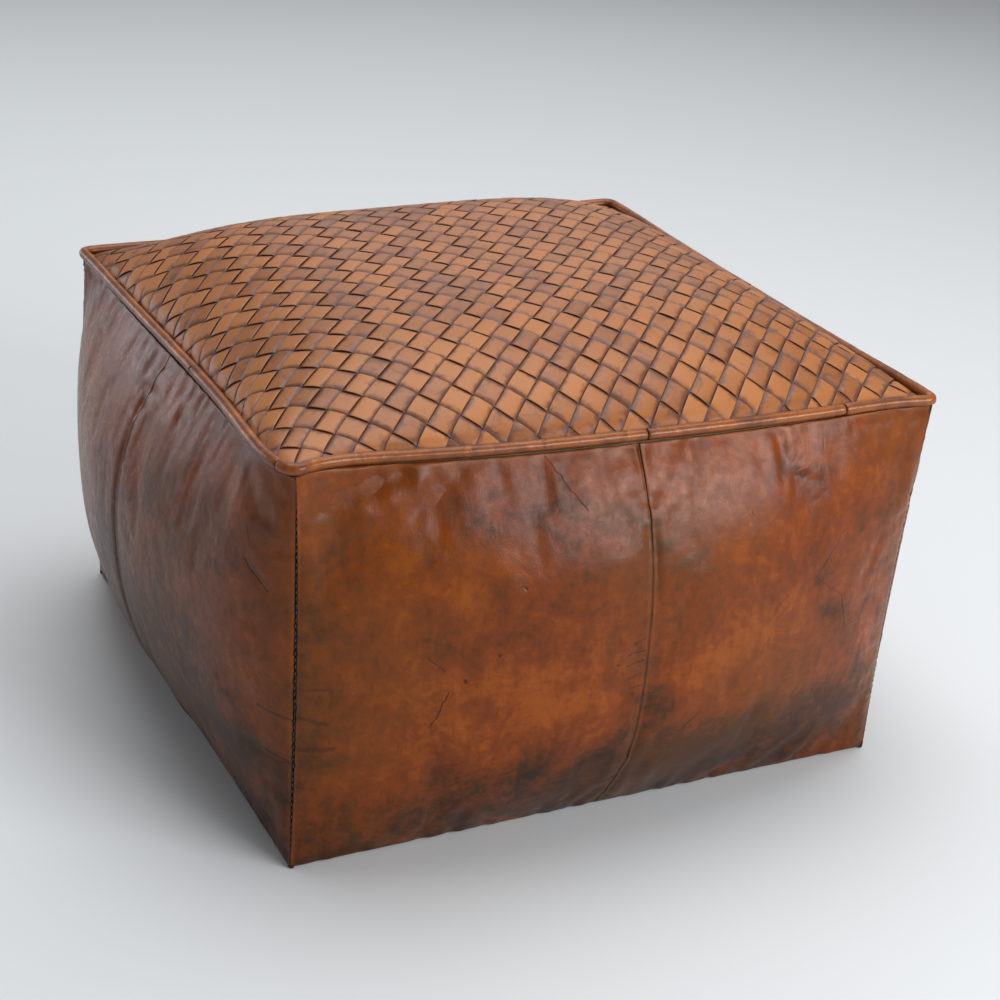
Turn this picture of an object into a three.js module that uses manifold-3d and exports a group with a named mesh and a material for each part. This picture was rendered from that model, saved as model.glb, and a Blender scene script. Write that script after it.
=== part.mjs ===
// Square Moroccan leather pouf: a woven leather top, a piped edge, eight side panels in four
// pairs, a zipped base, and a bag of wadding around a foam block.
// Millimetres, +Z up, origin on the floor under the middle of the pouf, front face towards -Y.

import * as THREE from 'three';
import { mergeVertices } from 'three/addons/utils/BufferGeometryUtils.js';
import Module from 'manifold-3d';

// ---- Driving dimensions ----

const TOP_EDGE = 510;           // piped seam, corner to corner
const BASE_EDGE = 495;          // base seam, corner to corner
const SEAM_HEIGHT = 308;        // floor to the middle of a piped edge
const CORNER_LIFT = 1.6;        // the four top corners stand this much above the edges
const CROWN = 58;               // rise of the stuffed top above its seam
const CROWN_FLATNESS = 3.9;     // higher is flatter in the middle and steeper at the edges
const CORNER_BOW = -2.2;        // how far a corner seam bows, negative is inwards
const BULGE_SPREAD = 0.61;      // below 1 the bulge starts close to the corner seams
const PINCH_PLACE = 0.09;       // where along an edge its end pinch is deepest
const CORNER_SHARPNESS = 6;     // higher keeps the lift of a top corner closer to it
const BASE_WAIST = 1.8;         // the base seam pulls in by this much at mid-edge

const LEATHER = 2;
const WOVEN_LEATHER = 4;        // two crossing strips
const CANVAS = 1;
const GAP = 0.3;                // clearance between touching pieces

const PIPING_RADIUS = 4.4;
const PIPING_BORE = 3.2;
const PIPING_CORD_RADIUS = 2;
const WEAVE_CLEARANCE = 5;      // from the piping to the weave's edge
const EDGE_STEPS = 24;          // straight steps of piping along one edge

const THREAD_RADIUS = 0.5;
const SEAM_TAPE_WIDTH = 18;

const FOAM_HALF_WIDTH = 200;
const FOAM_BOTTOM = 32;
const FOAM_TOP = 270;

// The zip runs along X in a groove of the base, so that it stays clear of the floor.
const GROOVE_HALF_WIDTH = 20;
const GROOVE_LIP = 8;           // half the slot between the two base panels
const GROOVE_DEPTH = 6;
const LIP_WIDTH = 4;            // flat part of a base panel beside the slot
const ZIP_TEETH_START = -200;
const ZIP_TEETH_END = 208;
const ZIP_PITCH = 8;
const ZIP_TOOTH_REACH = 0.8;    // teeth end this far from the zip's middle line
const ZIP_TEETH_EDGE = 3;
const ZIP_TEETH_LOW = 7.4;
const ZIP_TEETH_HIGH = 9.9;
const TAPE_LOW = 8.3;
const TAPE_HIGH = 9.1;
const TAPE_EDGE = 16;
const TAPE_SPARE = 25;          // the tapes run on past the teeth
const SLIDER_X = 198;           // slider position with the zip closed
const SLIDER_LENGTH = 14;
const PULL_LENGTH = 26;
const PULL_THICKNESS = 1.2;
const PULL_AXIS_Z = 4.4;
const PULL_REST_TILT = THREE.MathUtils.degToRad(7);

// Hand stuffing leaves each top corner a little off its nominal place.
const CORNERS = [
  { name: 'front_left', x: -1, y: -1, shift: [2.8, 2, 4.7] },
  { name: 'front_right', x: 1, y: -1, shift: [0.2, -1.8, -2.6] },
  { name: 'rear_right', x: 1, y: 1, shift: [-1.7, 1.3, 0] },
  { name: 'rear_left', x: -1, y: 1, shift: [-1.3, -1.5, -7] },
];

// Each face runs from one corner to the next. bulge holds the main swell, its shift up or
// down and its squareness; pinch is how far the seam leaves the straight line at each end.
const FACES = [
  { name: 'front', start: 0, end: 1, out: [0, -1], bulge: [56, -1.3, 4.7], pinch: [-12.7, -7.1] },
  { name: 'right', start: 1, end: 2, out: [1, 0], bulge: [55, 1.2, 3.2], pinch: [2.9, 2.9] },
  { name: 'rear', start: 2, end: 3, out: [0, 1], bulge: [56, -1.3, 4.7], pinch: [2.9, 2.9] },
  { name: 'left', start: 3, end: 0, out: [-1, 0], bulge: [55, 1.2, 3.2], pinch: [-1.6, 9.1] },
];
const [FRONT, RIGHT, REAR, LEFT] = FACES;

const OUTSIDE = { side: 0, top: 0, base: 0 };

// ---- The stuffed shape ----
// A layer says how far inside the outside surface a skin lies, at the sides, top and base.

function topCorner(index, layer) {
  const { x, y, shift } = CORNERS[index];
  const half = TOP_EDGE / 2 - layer.side;
  return new THREE.Vector3(
    x * half + shift[0],
    y * half + shift[1],
    SEAM_HEIGHT + CORNER_LIFT + shift[2] - layer.top,
  );
}

function baseCorner(index, layer) {
  const { x, y } = CORNERS[index];
  const half = BASE_EDGE / 2 - layer.side;
  return new THREE.Vector3(x * half, y * half, layer.base);
}

const pinchShape = (t) => (1 - t) * (t / PINCH_PLACE) * Math.exp(1 - t / PINCH_PLACE);
const outward = (face) => new THREE.Vector3(face.out[0], face.out[1], 0);

function topEdge(face, t, layer) {
  const out = face.pinch[0] * pinchShape(t) + face.pinch[1] * pinchShape(1 - t);
  const sag = CORNER_LIFT * (1 - Math.abs(2 * t - 1) ** CORNER_SHARPNESS);
  return topCorner(face.start, layer)
    .lerp(topCorner(face.end, layer), t)
    .addScaledVector(outward(face), out)
    .add(new THREE.Vector3(0, 0, -sag));
}

function baseEdge(face, t, layer) {
  return baseCorner(face.start, layer)
    .lerp(baseCorner(face.end, layer), t)
    .addScaledVector(outward(face), -BASE_WAIST * 4 * t * (1 - t));
}

// t runs along the face, v runs from the piped seam down to the base seam.
function sidePoint(face, t, v, layer) {
  const [swell, shift, square] = face.bulge;
  const rise = Math.sin(Math.PI * v);
  const profile = swell * rise + shift * Math.sin(2 * Math.PI * v) + square * Math.sin(3 * Math.PI * v);
  const spread = Math.sin(Math.PI * t) ** BULGE_SPREAD;
  const bow = CORNER_BOW * rise * (1 - spread);
  const startCorner = CORNERS[face.start];
  const endCorner = CORNERS[face.end];
  const bowX = THREE.MathUtils.lerp(startCorner.x, endCorner.x, t) * bow;
  const bowY = THREE.MathUtils.lerp(startCorner.y, endCorner.y, t) * bow;
  return topEdge(face, t, layer)
    .lerp(baseEdge(face, t, layer), v)
    .addScaledVector(outward(face), profile * spread)
    .add(new THREE.Vector3(bowX, bowY, 0));
}

// s runs from left to right and t from front to rear over a patch held by the four top edges.
function topPoint(s, t, layer) {
  const point = topEdge(FRONT, s, layer).multiplyScalar(1 - t)
    .addScaledVector(topEdge(REAR, 1 - s, layer), t)
    .addScaledVector(topEdge(LEFT, 1 - t, layer), 1 - s)
    .addScaledVector(topEdge(RIGHT, t, layer), s)
    .addScaledVector(topCorner(0, layer), -(1 - s) * (1 - t))
    .addScaledVector(topCorner(1, layer), -s * (1 - t))
    .addScaledVector(topCorner(2, layer), -s * t)
    .addScaledVector(topCorner(3, layer), -(1 - s) * t);
  const across = 1 - Math.abs(2 * s - 1) ** CROWN_FLATNESS;
  const along = 1 - Math.abs(2 * t - 1) ** CROWN_FLATNESS;
  point.z += CROWN * across * along;
  return point;
}

function basePoint(s, t, layer) {
  return baseEdge(FRONT, s, layer).multiplyScalar(1 - t)
    .addScaledVector(baseEdge(REAR, 1 - s, layer), t)
    .addScaledVector(baseEdge(LEFT, 1 - t, layer), 1 - s)
    .addScaledVector(baseEdge(RIGHT, t, layer), s)
    .addScaledVector(baseCorner(0, layer), -(1 - s) * (1 - t))
    .addScaledVector(baseCorner(1, layer), -s * (1 - t))
    .addScaledVector(baseCorner(2, layer), -s * t)
    .addScaledVector(baseCorner(3, layer), -(1 - s) * t);
}

// ---- Building solids ----

function solidFromTriangles(corners) {
  const geometry = new THREE.BufferGeometry().setFromPoints(corners);
  return mergeVertices(geometry, 1e-3);
}

// Two triangles for each cell of a surface over the unit square, facing the side from which
// u to the right and w upwards look right-handed.
function surfaceTriangles(pointAt, columns, rows) {
  const corners = [];
  for (let i = 0; i < columns; i += 1) {
    for (let j = 0; j < rows; j += 1) {
      const a = pointAt(i / columns, j / rows);
      const b = pointAt((i + 1) / columns, j / rows);
      const c = pointAt((i + 1) / columns, (j + 1) / rows);
      const d = pointAt(i / columns, (j + 1) / rows);
      corners.push(a, b, c, a, c, d);
    }
  }
  return corners;
}

// A skin between an outer and an inner surface, closed by a rim on its four edges.
function skinSolid(outer, inner, columns, rows) {
  const through = (pointA, pointB) => (u, w) => (w < 0.5 ? pointA(u) : pointB(u));
  return solidFromTriangles([
    ...surfaceTriangles(outer, columns, rows),
    ...surfaceTriangles(inner, columns, rows).reverse(),
    ...surfaceTriangles(through((u) => inner(u, 0), (u) => outer(u, 0)), columns, 1),
    ...surfaceTriangles(through((u) => outer(u, 1), (u) => inner(u, 1)), columns, 1),
    ...surfaceTriangles(through((w) => inner(0, 1 - w), (w) => outer(0, 1 - w)), rows, 1),
    ...surfaceTriangles(through((w) => outer(1, 1 - w), (w) => inner(1, 1 - w)), rows, 1),
  ]);
}

// The whole stuffed shape at one layer, as a closed solid.
function stuffedSolid(layer) {
  const across = 9;
  const down = 5;
  const triangles = [
    ...surfaceTriangles((s, t) => topPoint(s, t, layer), across, across),
    ...surfaceTriangles((s, t) => basePoint(1 - s, t, layer), across, across),
  ];
  for (const face of FACES) {
    triangles.push(...surfaceTriangles((t, w) => sidePoint(face, t, 1 - w, layer), across, down));
  }
  return solidFromTriangles(triangles);
}

function outline(points) {
  return new THREE.Shape(points.map(([x, y]) => new THREE.Vector2(x, y)));
}

// A profile drawn in Y and Z, extruded along X from one place to another.
function barAlongX(points, from, to) {
  const bar = new THREE.ExtrudeGeometry(outline(points), { depth: to - from, bevelEnabled: false });
  const turned = new THREE.Matrix4().makeBasis(
    new THREE.Vector3(0, 1, 0),
    new THREE.Vector3(0, 0, 1),
    new THREE.Vector3(1, 0, 0),
  );
  return bar.applyMatrix4(turned).translate(from, 0, 0);
}

function boxBetween([x0, y0, z0], [x1, y1, z1]) {
  const box = new THREE.BoxGeometry(x1 - x0, y1 - y0, z1 - z0);
  return box.translate((x0 + x1) / 2, (y0 + y1) / 2, (z0 + z1) / 2);
}

const wasm = await Module();
wasm.setup();

function toManifold(geometry) {
  const bare = geometry.clone();
  bare.deleteAttribute('normal');
  bare.deleteAttribute('uv');
  const merged = mergeVertices(bare, 1e-4);
  return new wasm.Manifold(new wasm.Mesh({
    numProp: 3,
    vertProperties: new Float32Array(merged.attributes.position.array),
    triVerts: new Uint32Array(merged.index.array),
  }));
}

function fromManifold(solid) {
  const { vertProperties, triVerts } = solid.getMesh();
  const geometry = new THREE.BufferGeometry();
  geometry.setAttribute('position', new THREE.BufferAttribute(vertProperties, 3));
  geometry.setIndex(new THREE.BufferAttribute(triVerts, 1));
  return geometry;
}

// ---- Materials ----

const finish = (color, roughness, metalness = 0) => (
  () => new THREE.MeshStandardMaterial({ color, roughness, metalness })
);
const wovenLeather = finish('#8f4f22', 0.45);
const sideLeather = finish('#7d4014', 0.35);
const pipingLeather = finish('#8a481b', 0.35);
const baseLeather = finish('#3a2417', 0.7);
const canvas = finish('#cbbd9c', 0.95);
const wadding = finish('#ece8de', 1);
const foam = finish('#d9cfa8', 1);
const thread = finish('#2a1a10', 0.8);
const cotton = finish('#b9b0a0', 0.9);
const zipTape = finish('#2b221c', 0.9);
const zipMetal = finish('#8d7a4e', 0.35, 1);

const pouf = new THREE.Group();

function add(name, geometry, material) {
  const mesh = new THREE.Mesh(geometry, material());
  mesh.name = name;
  pouf.add(mesh);
  return mesh;
}

// ---- Woven top and its backing ----

const TOP_CELLS = 11;

function topSkin(depth, thickness) {
  const margin = (PIPING_RADIUS + WEAVE_CLEARANCE) / TOP_EDGE;
  const within = (s) => THREE.MathUtils.lerp(margin, 1 - margin, s);
  const skin = (top) => (s, t) => topPoint(within(s), within(t), { ...OUTSIDE, top });
  return skinSolid(skin(depth), skin(depth + thickness), TOP_CELLS, TOP_CELLS);
}

add('woven_top', topSkin(0, WOVEN_LEATHER), wovenLeather);
add('top_backing', topSkin(WOVEN_LEATHER + GAP, CANVAS), canvas);

// ---- Piping: a cord in six butted lengths of rolled leather ----

// Points close to each corner round it off, so that the piping turns it in a small curve.
const EDGE_PLACES = [0.016, 0.05, 0.1, 0.2, 0.35, 0.5, 0.65, 0.8, 0.9, 0.95, 0.984];
const pipingPath = new THREE.CatmullRomCurve3(
  FACES.flatMap((face) => EDGE_PLACES.map((t) => topEdge(face, t, OUTSIDE))),
  true,
  'centripetal',
);
const PIPING_STEPS = EDGE_STEPS * FACES.length;

// A stretch of the piping between two of its steps, counted from the front left corner.
class PipingStretch extends THREE.Curve {
  constructor(from, to) {
    super();
    this.from = from / PIPING_STEPS;
    this.to = to / PIPING_STEPS;
  }

  getPoint(u, target = new THREE.Vector3()) {
    const place = THREE.MathUtils.lerp(this.from, this.to, u);
    return pipingPath.getPointAt(THREE.MathUtils.euclideanModulo(place, 1), target);
  }
}

function ring(radius, sides) {
  return Array.from({ length: sides }, (_, i) => {
    const angle = (2 * Math.PI * i) / sides;
    return [radius * Math.cos(angle), radius * Math.sin(angle)];
  });
}

function alongPiping(section, from, to, endGap) {
  const trim = endGap / (TOP_EDGE / EDGE_STEPS);
  return new THREE.ExtrudeGeometry(section, {
    steps: to - from,
    extrudePath: new PipingStretch(from + trim, to - trim),
    bevelEnabled: false,
  });
}

// Where the leather lengths butt together, in piping steps from the front left corner.
const PIPING_JOINTS = [-1, 12, 20, 36, 60, 86, 95];

for (let i = 0; i + 1 < PIPING_JOINTS.length; i += 1) {
  const section = outline(ring(PIPING_RADIUS, 8));
  section.holes.push(outline(ring(PIPING_BORE, 6).reverse()));
  const cover = alongPiping(section, PIPING_JOINTS[i], PIPING_JOINTS[i + 1], GAP / 2);
  add(`piping_cover_${i + 1}`, cover, pipingLeather);
}
add('piping_cord', alongPiping(outline(ring(PIPING_CORD_RADIUS, 5)), 0, PIPING_STEPS, GAP), cotton);

// ---- Side panels, two to a face, with a tape behind each middle seam ----

const PANEL_TOP = (PIPING_RADIUS + 2 * GAP) / SEAM_HEIGHT;
const PANEL_ROWS = 10;

function sideSkin(face, [from, to], lowest, depth, thickness, columns) {
  const skin = (side) => (u, w) => sidePoint(
    face,
    THREE.MathUtils.lerp(from, to, u),
    THREE.MathUtils.lerp(lowest, PANEL_TOP, w),
    { ...OUTSIDE, side },
  );
  return skinSolid(skin(depth), skin(depth + thickness), columns, PANEL_ROWS);
}

for (const face of FACES) {
  const seamGap = GAP / 2 / TOP_EDGE;
  const halves = [[seamGap, 0.5 - seamGap], [0.5 + seamGap, 1 - seamGap]];
  halves.forEach((half, i) => {
    add(`${face.name}_panel_${i + 1}`, sideSkin(face, half, 1, 0, LEATHER, 6), sideLeather);
  });
  const tapeHalf = SEAM_TAPE_WIDTH / 2 / TOP_EDGE;
  const overSeam = [0.5 - tapeHalf, 0.5 + tapeHalf];
  const aboveBase = 1 - 2 * LEATHER / SEAM_HEIGHT;
  const tapeDepth = LEATHER + 4 * GAP;
  add(`${face.name}_seam_tape`, sideSkin(face, overSeam, aboveBase, tapeDepth, CANVAS, 2), canvas);
}

// ---- Thread in the four corner seams ----

for (const face of FACES) {
  const corner = CORNERS[face.start];
  const clear = LEATHER + THREAD_RADIUS;
  const seam = new THREE.CatmullRomCurve3(
    [0.03, 0.2, 0.4, 0.6, 0.8, 0.97].map((v) => (
      sidePoint(face, 0, v, OUTSIDE).add(new THREE.Vector3(corner.x, corner.y, 0).setLength(clear / 2))
    )),
  );
  const stitching = new THREE.ExtrudeGeometry(outline(ring(THREAD_RADIUS, 5)), {
    steps: 12,
    extrudePath: seam,
    bevelEnabled: false,
  });
  add(`${corner.name}_seam_thread`, stitching, thread);
}

// ---- Base: two panels turned up towards the zip ----

const BASE_HALF = BASE_EDGE / 2 - BASE_WAIST - LEATHER - 2 * GAP;

// Profiles are drawn for the front half, with distances from the zip, then mirrored.
const HALVES = [['front', -1], ['rear', 1]];
const mirrored = (points, sign) => {
  const placed = points.map(([away, z]) => [sign * away, z]);
  return sign < 0 ? placed.reverse() : placed;
};

for (const [half, sign] of HALVES) {
  const lip = GROOVE_DEPTH + LEATHER;
  const profile = [
    [GROOVE_LIP, GROOVE_DEPTH],
    [GROOVE_LIP + LIP_WIDTH, GROOVE_DEPTH],
    [GROOVE_HALF_WIDTH, 0],
    [BASE_HALF, 0],
    [BASE_HALF, LEATHER],
    [GROOVE_HALF_WIDTH + LEATHER / 2, LEATHER],
    [GROOVE_LIP + LIP_WIDTH + LEATHER / 2, lip],
    [GROOVE_LIP, lip],
  ];
  add(`base_panel_${half}`, barAlongX(mirrored(profile, sign), -BASE_HALF, BASE_HALF), baseLeather);
}

// ---- Zip: tapes, rows of teeth, stops, end tabs, slider and pull ----

// A comb outline: a spine along the tape with one tooth in each pitch.
function toothRow(sign) {
  const spine = (ZIP_TEETH_EDGE + ZIP_TOOTH_REACH) / 2;
  const comb = [[ZIP_TEETH_START, ZIP_TEETH_EDGE]];
  for (let x = ZIP_TEETH_START; x < ZIP_TEETH_END; x += ZIP_PITCH) {
    const tooth = ZIP_PITCH / 2;
    comb.push([x, ZIP_TOOTH_REACH], [x + tooth, ZIP_TOOTH_REACH]);
    comb.push([x + tooth, spine], [x + ZIP_PITCH, spine]);
  }
  const end = comb[comb.length - 1][0];
  comb.push([end, ZIP_TEETH_EDGE]);
  const placed = comb.map(([x, away]) => [x, sign * away]);
  const row = new THREE.ExtrudeGeometry(outline(placed), {
    depth: ZIP_TEETH_HIGH - ZIP_TEETH_LOW,
    bevelEnabled: false,
  });
  return row.translate(0, 0, ZIP_TEETH_LOW);
}

const TAPE_START = ZIP_TEETH_START - TAPE_SPARE;
const TAPE_END = ZIP_TEETH_END + TAPE_SPARE;

for (const [half, sign] of HALVES) {
  const inner = ZIP_TEETH_EDGE + GAP;
  const profile = [[inner, TAPE_LOW], [TAPE_EDGE, TAPE_LOW], [TAPE_EDGE, TAPE_HIGH], [inner, TAPE_HIGH]];
  add(`zip_tape_${half}`, barAlongX(mirrored(profile, sign), TAPE_START, TAPE_END), zipTape);
  add(`zip_teeth_${half}`, toothRow(sign), zipMetal);
}

const STOP_LENGTH = 3;
const TAB_LENGTH = 24;
const TAB_HALF_WIDTH = 11;
const TAB_THICKNESS = 1.5;
const TAB_OFFSET = 8;           // from the end of the teeth to a tab
const ZIP_ENDS = [['open', ZIP_TEETH_START, -1], ['closed', ZIP_TEETH_END + ZIP_PITCH / 2, 1]];

for (const [name, end, sign] of ZIP_ENDS) {
  const stopNear = end + sign * 2 * GAP;
  const stopFar = stopNear + sign * STOP_LENGTH;
  const stop = boxBetween(
    [Math.min(stopNear, stopFar), -ZIP_TEETH_EDGE, ZIP_TEETH_LOW],
    [Math.max(stopNear, stopFar), ZIP_TEETH_EDGE, ZIP_TEETH_HIGH],
  );
  add(`zip_stop_${name}`, stop, zipMetal);
  const tabNear = end + sign * TAB_OFFSET;
  const tabFar = tabNear + sign * TAB_LENGTH;
  const tab = boxBetween(
    [Math.min(tabNear, tabFar), -TAB_HALF_WIDTH, GROOVE_DEPTH - GAP - TAB_THICKNESS],
    [Math.max(tabNear, tabFar), TAB_HALF_WIDTH, GROOVE_DEPTH - GAP],
  );
  add(`zip_end_tab_${name}`, tab, baseLeather);
}

// The slider is two plates joined by a bridge that runs between the rows of teeth.
const PLATE_HALF_WIDTH = 5;
const FLANGE_INNER = 4;
const BRIDGE_HALF = 0.5;
const LOWER_PLATE = 1.5;
const UPPER_PLATE = 1.2;
const PLATE_LOW = ZIP_TEETH_LOW - GAP - LOWER_PLATE;
const PLATE_HIGH = ZIP_TEETH_HIGH + GAP + UPPER_PLATE;
const LUG_HALF_WIDTH = 1.2;
const LUG_LENGTH = 4;
const LUG_BORE = 1;
const LUG_WALL = 0.6;           // below the bore
const LUG_OVERLAP = 0.2;        // how far the lug runs into the plate

function sliderSolid() {
  const slotLow = TAPE_LOW - 2 * GAP;
  const slotHigh = TAPE_HIGH + 2 * GAP;
  const half = [
    [0, PLATE_LOW], [PLATE_HALF_WIDTH, PLATE_LOW], [PLATE_HALF_WIDTH, slotLow],
    [FLANGE_INNER, slotLow], [FLANGE_INNER, ZIP_TEETH_LOW - GAP],
    [BRIDGE_HALF, ZIP_TEETH_LOW - GAP], [BRIDGE_HALF, ZIP_TEETH_HIGH + GAP],
    [FLANGE_INNER, ZIP_TEETH_HIGH + GAP], [FLANGE_INNER, slotHigh],
    [PLATE_HALF_WIDTH, slotHigh], [PLATE_HALF_WIDTH, PLATE_HIGH], [0, PLATE_HIGH],
  ];
  const otherHalf = half.slice(1, -1).reverse().map(([y, z]) => [-y, z]);
  const plates = toManifold(barAlongX([...half, ...otherHalf], -SLIDER_LENGTH / 2, SLIDER_LENGTH / 2));
  const lug = toManifold(boxBetween(
    [-LUG_LENGTH / 2, -LUG_HALF_WIDTH, PULL_AXIS_Z - LUG_BORE - LUG_WALL],
    [LUG_LENGTH / 2, LUG_HALF_WIDTH, PLATE_LOW + LUG_OVERLAP],
  ));
  const bore = new THREE.CylinderGeometry(LUG_BORE, LUG_BORE, 4 * LUG_HALF_WIDTH, 16);
  const hole = toManifold(bore.translate(0, 0, PULL_AXIS_Z));
  return fromManifold(plates.add(lug).subtract(hole));
}

add('zip_slider', sliderSolid(), zipMetal).position.x = SLIDER_X;

// The pull is a tag with a window at one end; the bar beyond the window turns in the lug.
// Lengths are from the axis to where each part ends.
const NECK_HALF_WIDTH = 3.2;
const NECK_END = 8;
const TAG_HALF_WIDTH = 4.5;
const SHOULDER_END = 12;
const WINDOW_HALF_WIDTH = 1.7;
const WINDOW_END = 5;

function pullSolid() {
  const bar = PULL_THICKNESS / 2;
  const shape = outline([
    [bar, -NECK_HALF_WIDTH], [bar, NECK_HALF_WIDTH], [-NECK_END, NECK_HALF_WIDTH],
    [-SHOULDER_END, TAG_HALF_WIDTH], [-PULL_LENGTH, TAG_HALF_WIDTH],
    [-PULL_LENGTH, -TAG_HALF_WIDTH], [-SHOULDER_END, -TAG_HALF_WIDTH],
    [-NECK_END, -NECK_HALF_WIDTH],
  ]);
  shape.holes.push(outline([
    [-bar, -WINDOW_HALF_WIDTH], [-WINDOW_END, -WINDOW_HALF_WIDTH],
    [-WINDOW_END, WINDOW_HALF_WIDTH], [-bar, WINDOW_HALF_WIDTH],
  ]));
  const tagSolid = new THREE.ExtrudeGeometry(shape, { depth: PULL_THICKNESS, bevelEnabled: false });
  return tagSolid.translate(0, 0, -PULL_THICKNESS / 2);
}

const pull = add('zip_pull', pullSolid(), zipMetal);
pull.position.set(SLIDER_X, 0, PULL_AXIS_Z);
pull.rotation.y = -PULL_REST_TILT;

// ---- Stuffing: a cotton bag of wadding around a foam block ----

const BAG_OUTER = { side: 6, top: 9, base: LEATHER + 2 * GAP };
const GROOVE_CLEARANCE = 1.5;
const FAR = TOP_EDGE;           // beyond every surface of the pouf

function deeper(layer, by) {
  return { side: layer.side + by, top: layer.top + by, base: layer.base + by };
}

// The stuffed shape at a layer, with the zip's groove cut out of its underside.
function stuffing(layer) {
  const spare = layer.base - LEATHER;
  const halfWidth = GROOVE_HALF_WIDTH + GROOVE_CLEARANCE + spare;
  const groove = boxBetween(
    [-FAR, -halfWidth, -FAR],
    [FAR, halfWidth, PLATE_HIGH + 2 * GAP + spare],
  );
  return toManifold(stuffedSolid(layer)).subtract(toManifold(groove));
}

const BAG_MOUTH_LENGTH = 300;
const BAG_MOUTH_HALF_WIDTH = 2;
const mouth = toManifold(boxBetween(
  [-BAG_MOUTH_LENGTH / 2, -BAG_MOUTH_HALF_WIDTH, 0],
  [BAG_MOUTH_LENGTH / 2, BAG_MOUTH_HALF_WIDTH, FOAM_BOTTOM / 2],
));
const bagInside = stuffing(deeper(BAG_OUTER, CANVAS));
add('inner_bag', fromManifold(stuffing(BAG_OUTER).subtract(bagInside).subtract(mouth)), canvas);

const filling = stuffing(deeper(BAG_OUTER, CANVAS + GAP));
const below = toManifold(boxBetween([-FAR, -FAR, -FAR], [FAR, FAR, FOAM_BOTTOM - GAP]));
const above = toManifold(boxBetween([-FAR, -FAR, FOAM_TOP + GAP], [FAR, FAR, FAR]));
add('wadding_base', fromManifold(filling.intersect(below)), wadding);
add('wadding_top', fromManifold(filling.intersect(above)), wadding);

const foamRoom = toManifold(boxBetween(
  [-FOAM_HALF_WIDTH - GAP, -FOAM_HALF_WIDTH - GAP, 0],
  [FOAM_HALF_WIDTH + GAP, FOAM_HALF_WIDTH + GAP, FAR],
));
FACES.forEach((face, quarterTurns) => {
  const wedge = new THREE.ExtrudeGeometry(outline([[-FAR, -FAR - GAP], [FAR, -FAR - GAP], [0, -GAP]]), {
    depth: FOAM_TOP - FOAM_BOTTOM,
    bevelEnabled: false,
  });
  wedge.translate(0, 0, FOAM_BOTTOM).rotateZ((quarterTurns * Math.PI) / 2);
  const slab = filling.intersect(toManifold(wedge)).subtract(foamRoom);
  add(`wadding_${face.name}`, fromManifold(slab), wadding);
});

add('foam_core', boxBetween(
  [-FOAM_HALF_WIDTH, -FOAM_HALF_WIDTH, FOAM_BOTTOM],
  [FOAM_HALF_WIDTH, FOAM_HALF_WIDTH, FOAM_TOP],
), foam);

export default pouf;
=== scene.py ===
"""Looks of a square Moroccan leather pouf: woven top, piped edge, stuffed leather sides, zipped base.

Metres, +Z up, origin on the floor under the middle of the pouf, front face towards -Y.
The sections follow the pouf as it is put together, from the foam inside to the zip underneath.
"""

import math

import bmesh
import bpy
import numpy as np
from mathutils import Matrix, Vector, noise


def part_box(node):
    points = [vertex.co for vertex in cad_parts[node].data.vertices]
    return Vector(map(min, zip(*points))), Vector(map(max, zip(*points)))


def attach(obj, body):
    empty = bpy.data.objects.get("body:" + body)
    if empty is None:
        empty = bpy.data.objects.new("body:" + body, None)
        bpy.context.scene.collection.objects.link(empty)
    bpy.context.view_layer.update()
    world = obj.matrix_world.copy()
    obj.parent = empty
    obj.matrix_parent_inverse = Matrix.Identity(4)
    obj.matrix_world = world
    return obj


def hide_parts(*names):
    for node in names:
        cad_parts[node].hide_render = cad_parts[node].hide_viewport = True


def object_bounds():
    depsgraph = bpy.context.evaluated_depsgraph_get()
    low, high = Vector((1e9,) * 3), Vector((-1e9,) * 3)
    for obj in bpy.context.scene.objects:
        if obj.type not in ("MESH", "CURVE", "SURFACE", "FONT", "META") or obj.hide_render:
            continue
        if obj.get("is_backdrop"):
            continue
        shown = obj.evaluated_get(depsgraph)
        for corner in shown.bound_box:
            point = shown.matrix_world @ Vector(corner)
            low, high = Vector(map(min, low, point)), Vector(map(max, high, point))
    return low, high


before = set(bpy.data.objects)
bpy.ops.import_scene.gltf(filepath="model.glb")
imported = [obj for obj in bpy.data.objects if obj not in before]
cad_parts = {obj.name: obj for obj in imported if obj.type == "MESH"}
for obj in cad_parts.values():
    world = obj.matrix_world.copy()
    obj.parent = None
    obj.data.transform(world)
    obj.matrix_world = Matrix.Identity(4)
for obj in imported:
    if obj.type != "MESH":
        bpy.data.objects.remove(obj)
cad_low, cad_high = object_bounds()


# ---- Foam block ----
# The middle of the pouf is one block of pale upholstery foam, cut square with a hot wire and
# eased over at its edges. It stands on the lower wadding and is held by the wadding round it.

MM = 0.001
FOAM_LOW, FOAM_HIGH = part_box("foam_core")


def mesh_piece(name, points, faces):
    """A smooth-shaded mesh object at the origin."""
    mesh = bpy.data.meshes.new(name)
    points = [tuple(map(float, point)) for point in points]
    mesh.from_pydata(points, [], [list(map(int, face)) for face in faces])
    mesh.update()
    mesh.shade_smooth()
    piece = bpy.data.objects.new(name, mesh)
    bpy.context.scene.collection.objects.link(piece)
    return piece


def roughen(piece, size, depth):
    """Moves a mesh's points along their normals by smooth noise of that size and depth."""
    for vertex in piece.data.vertices:
        vertex.co += vertex.normal * depth * noise.noise(vertex.co / size)
    piece.data.update()


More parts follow.
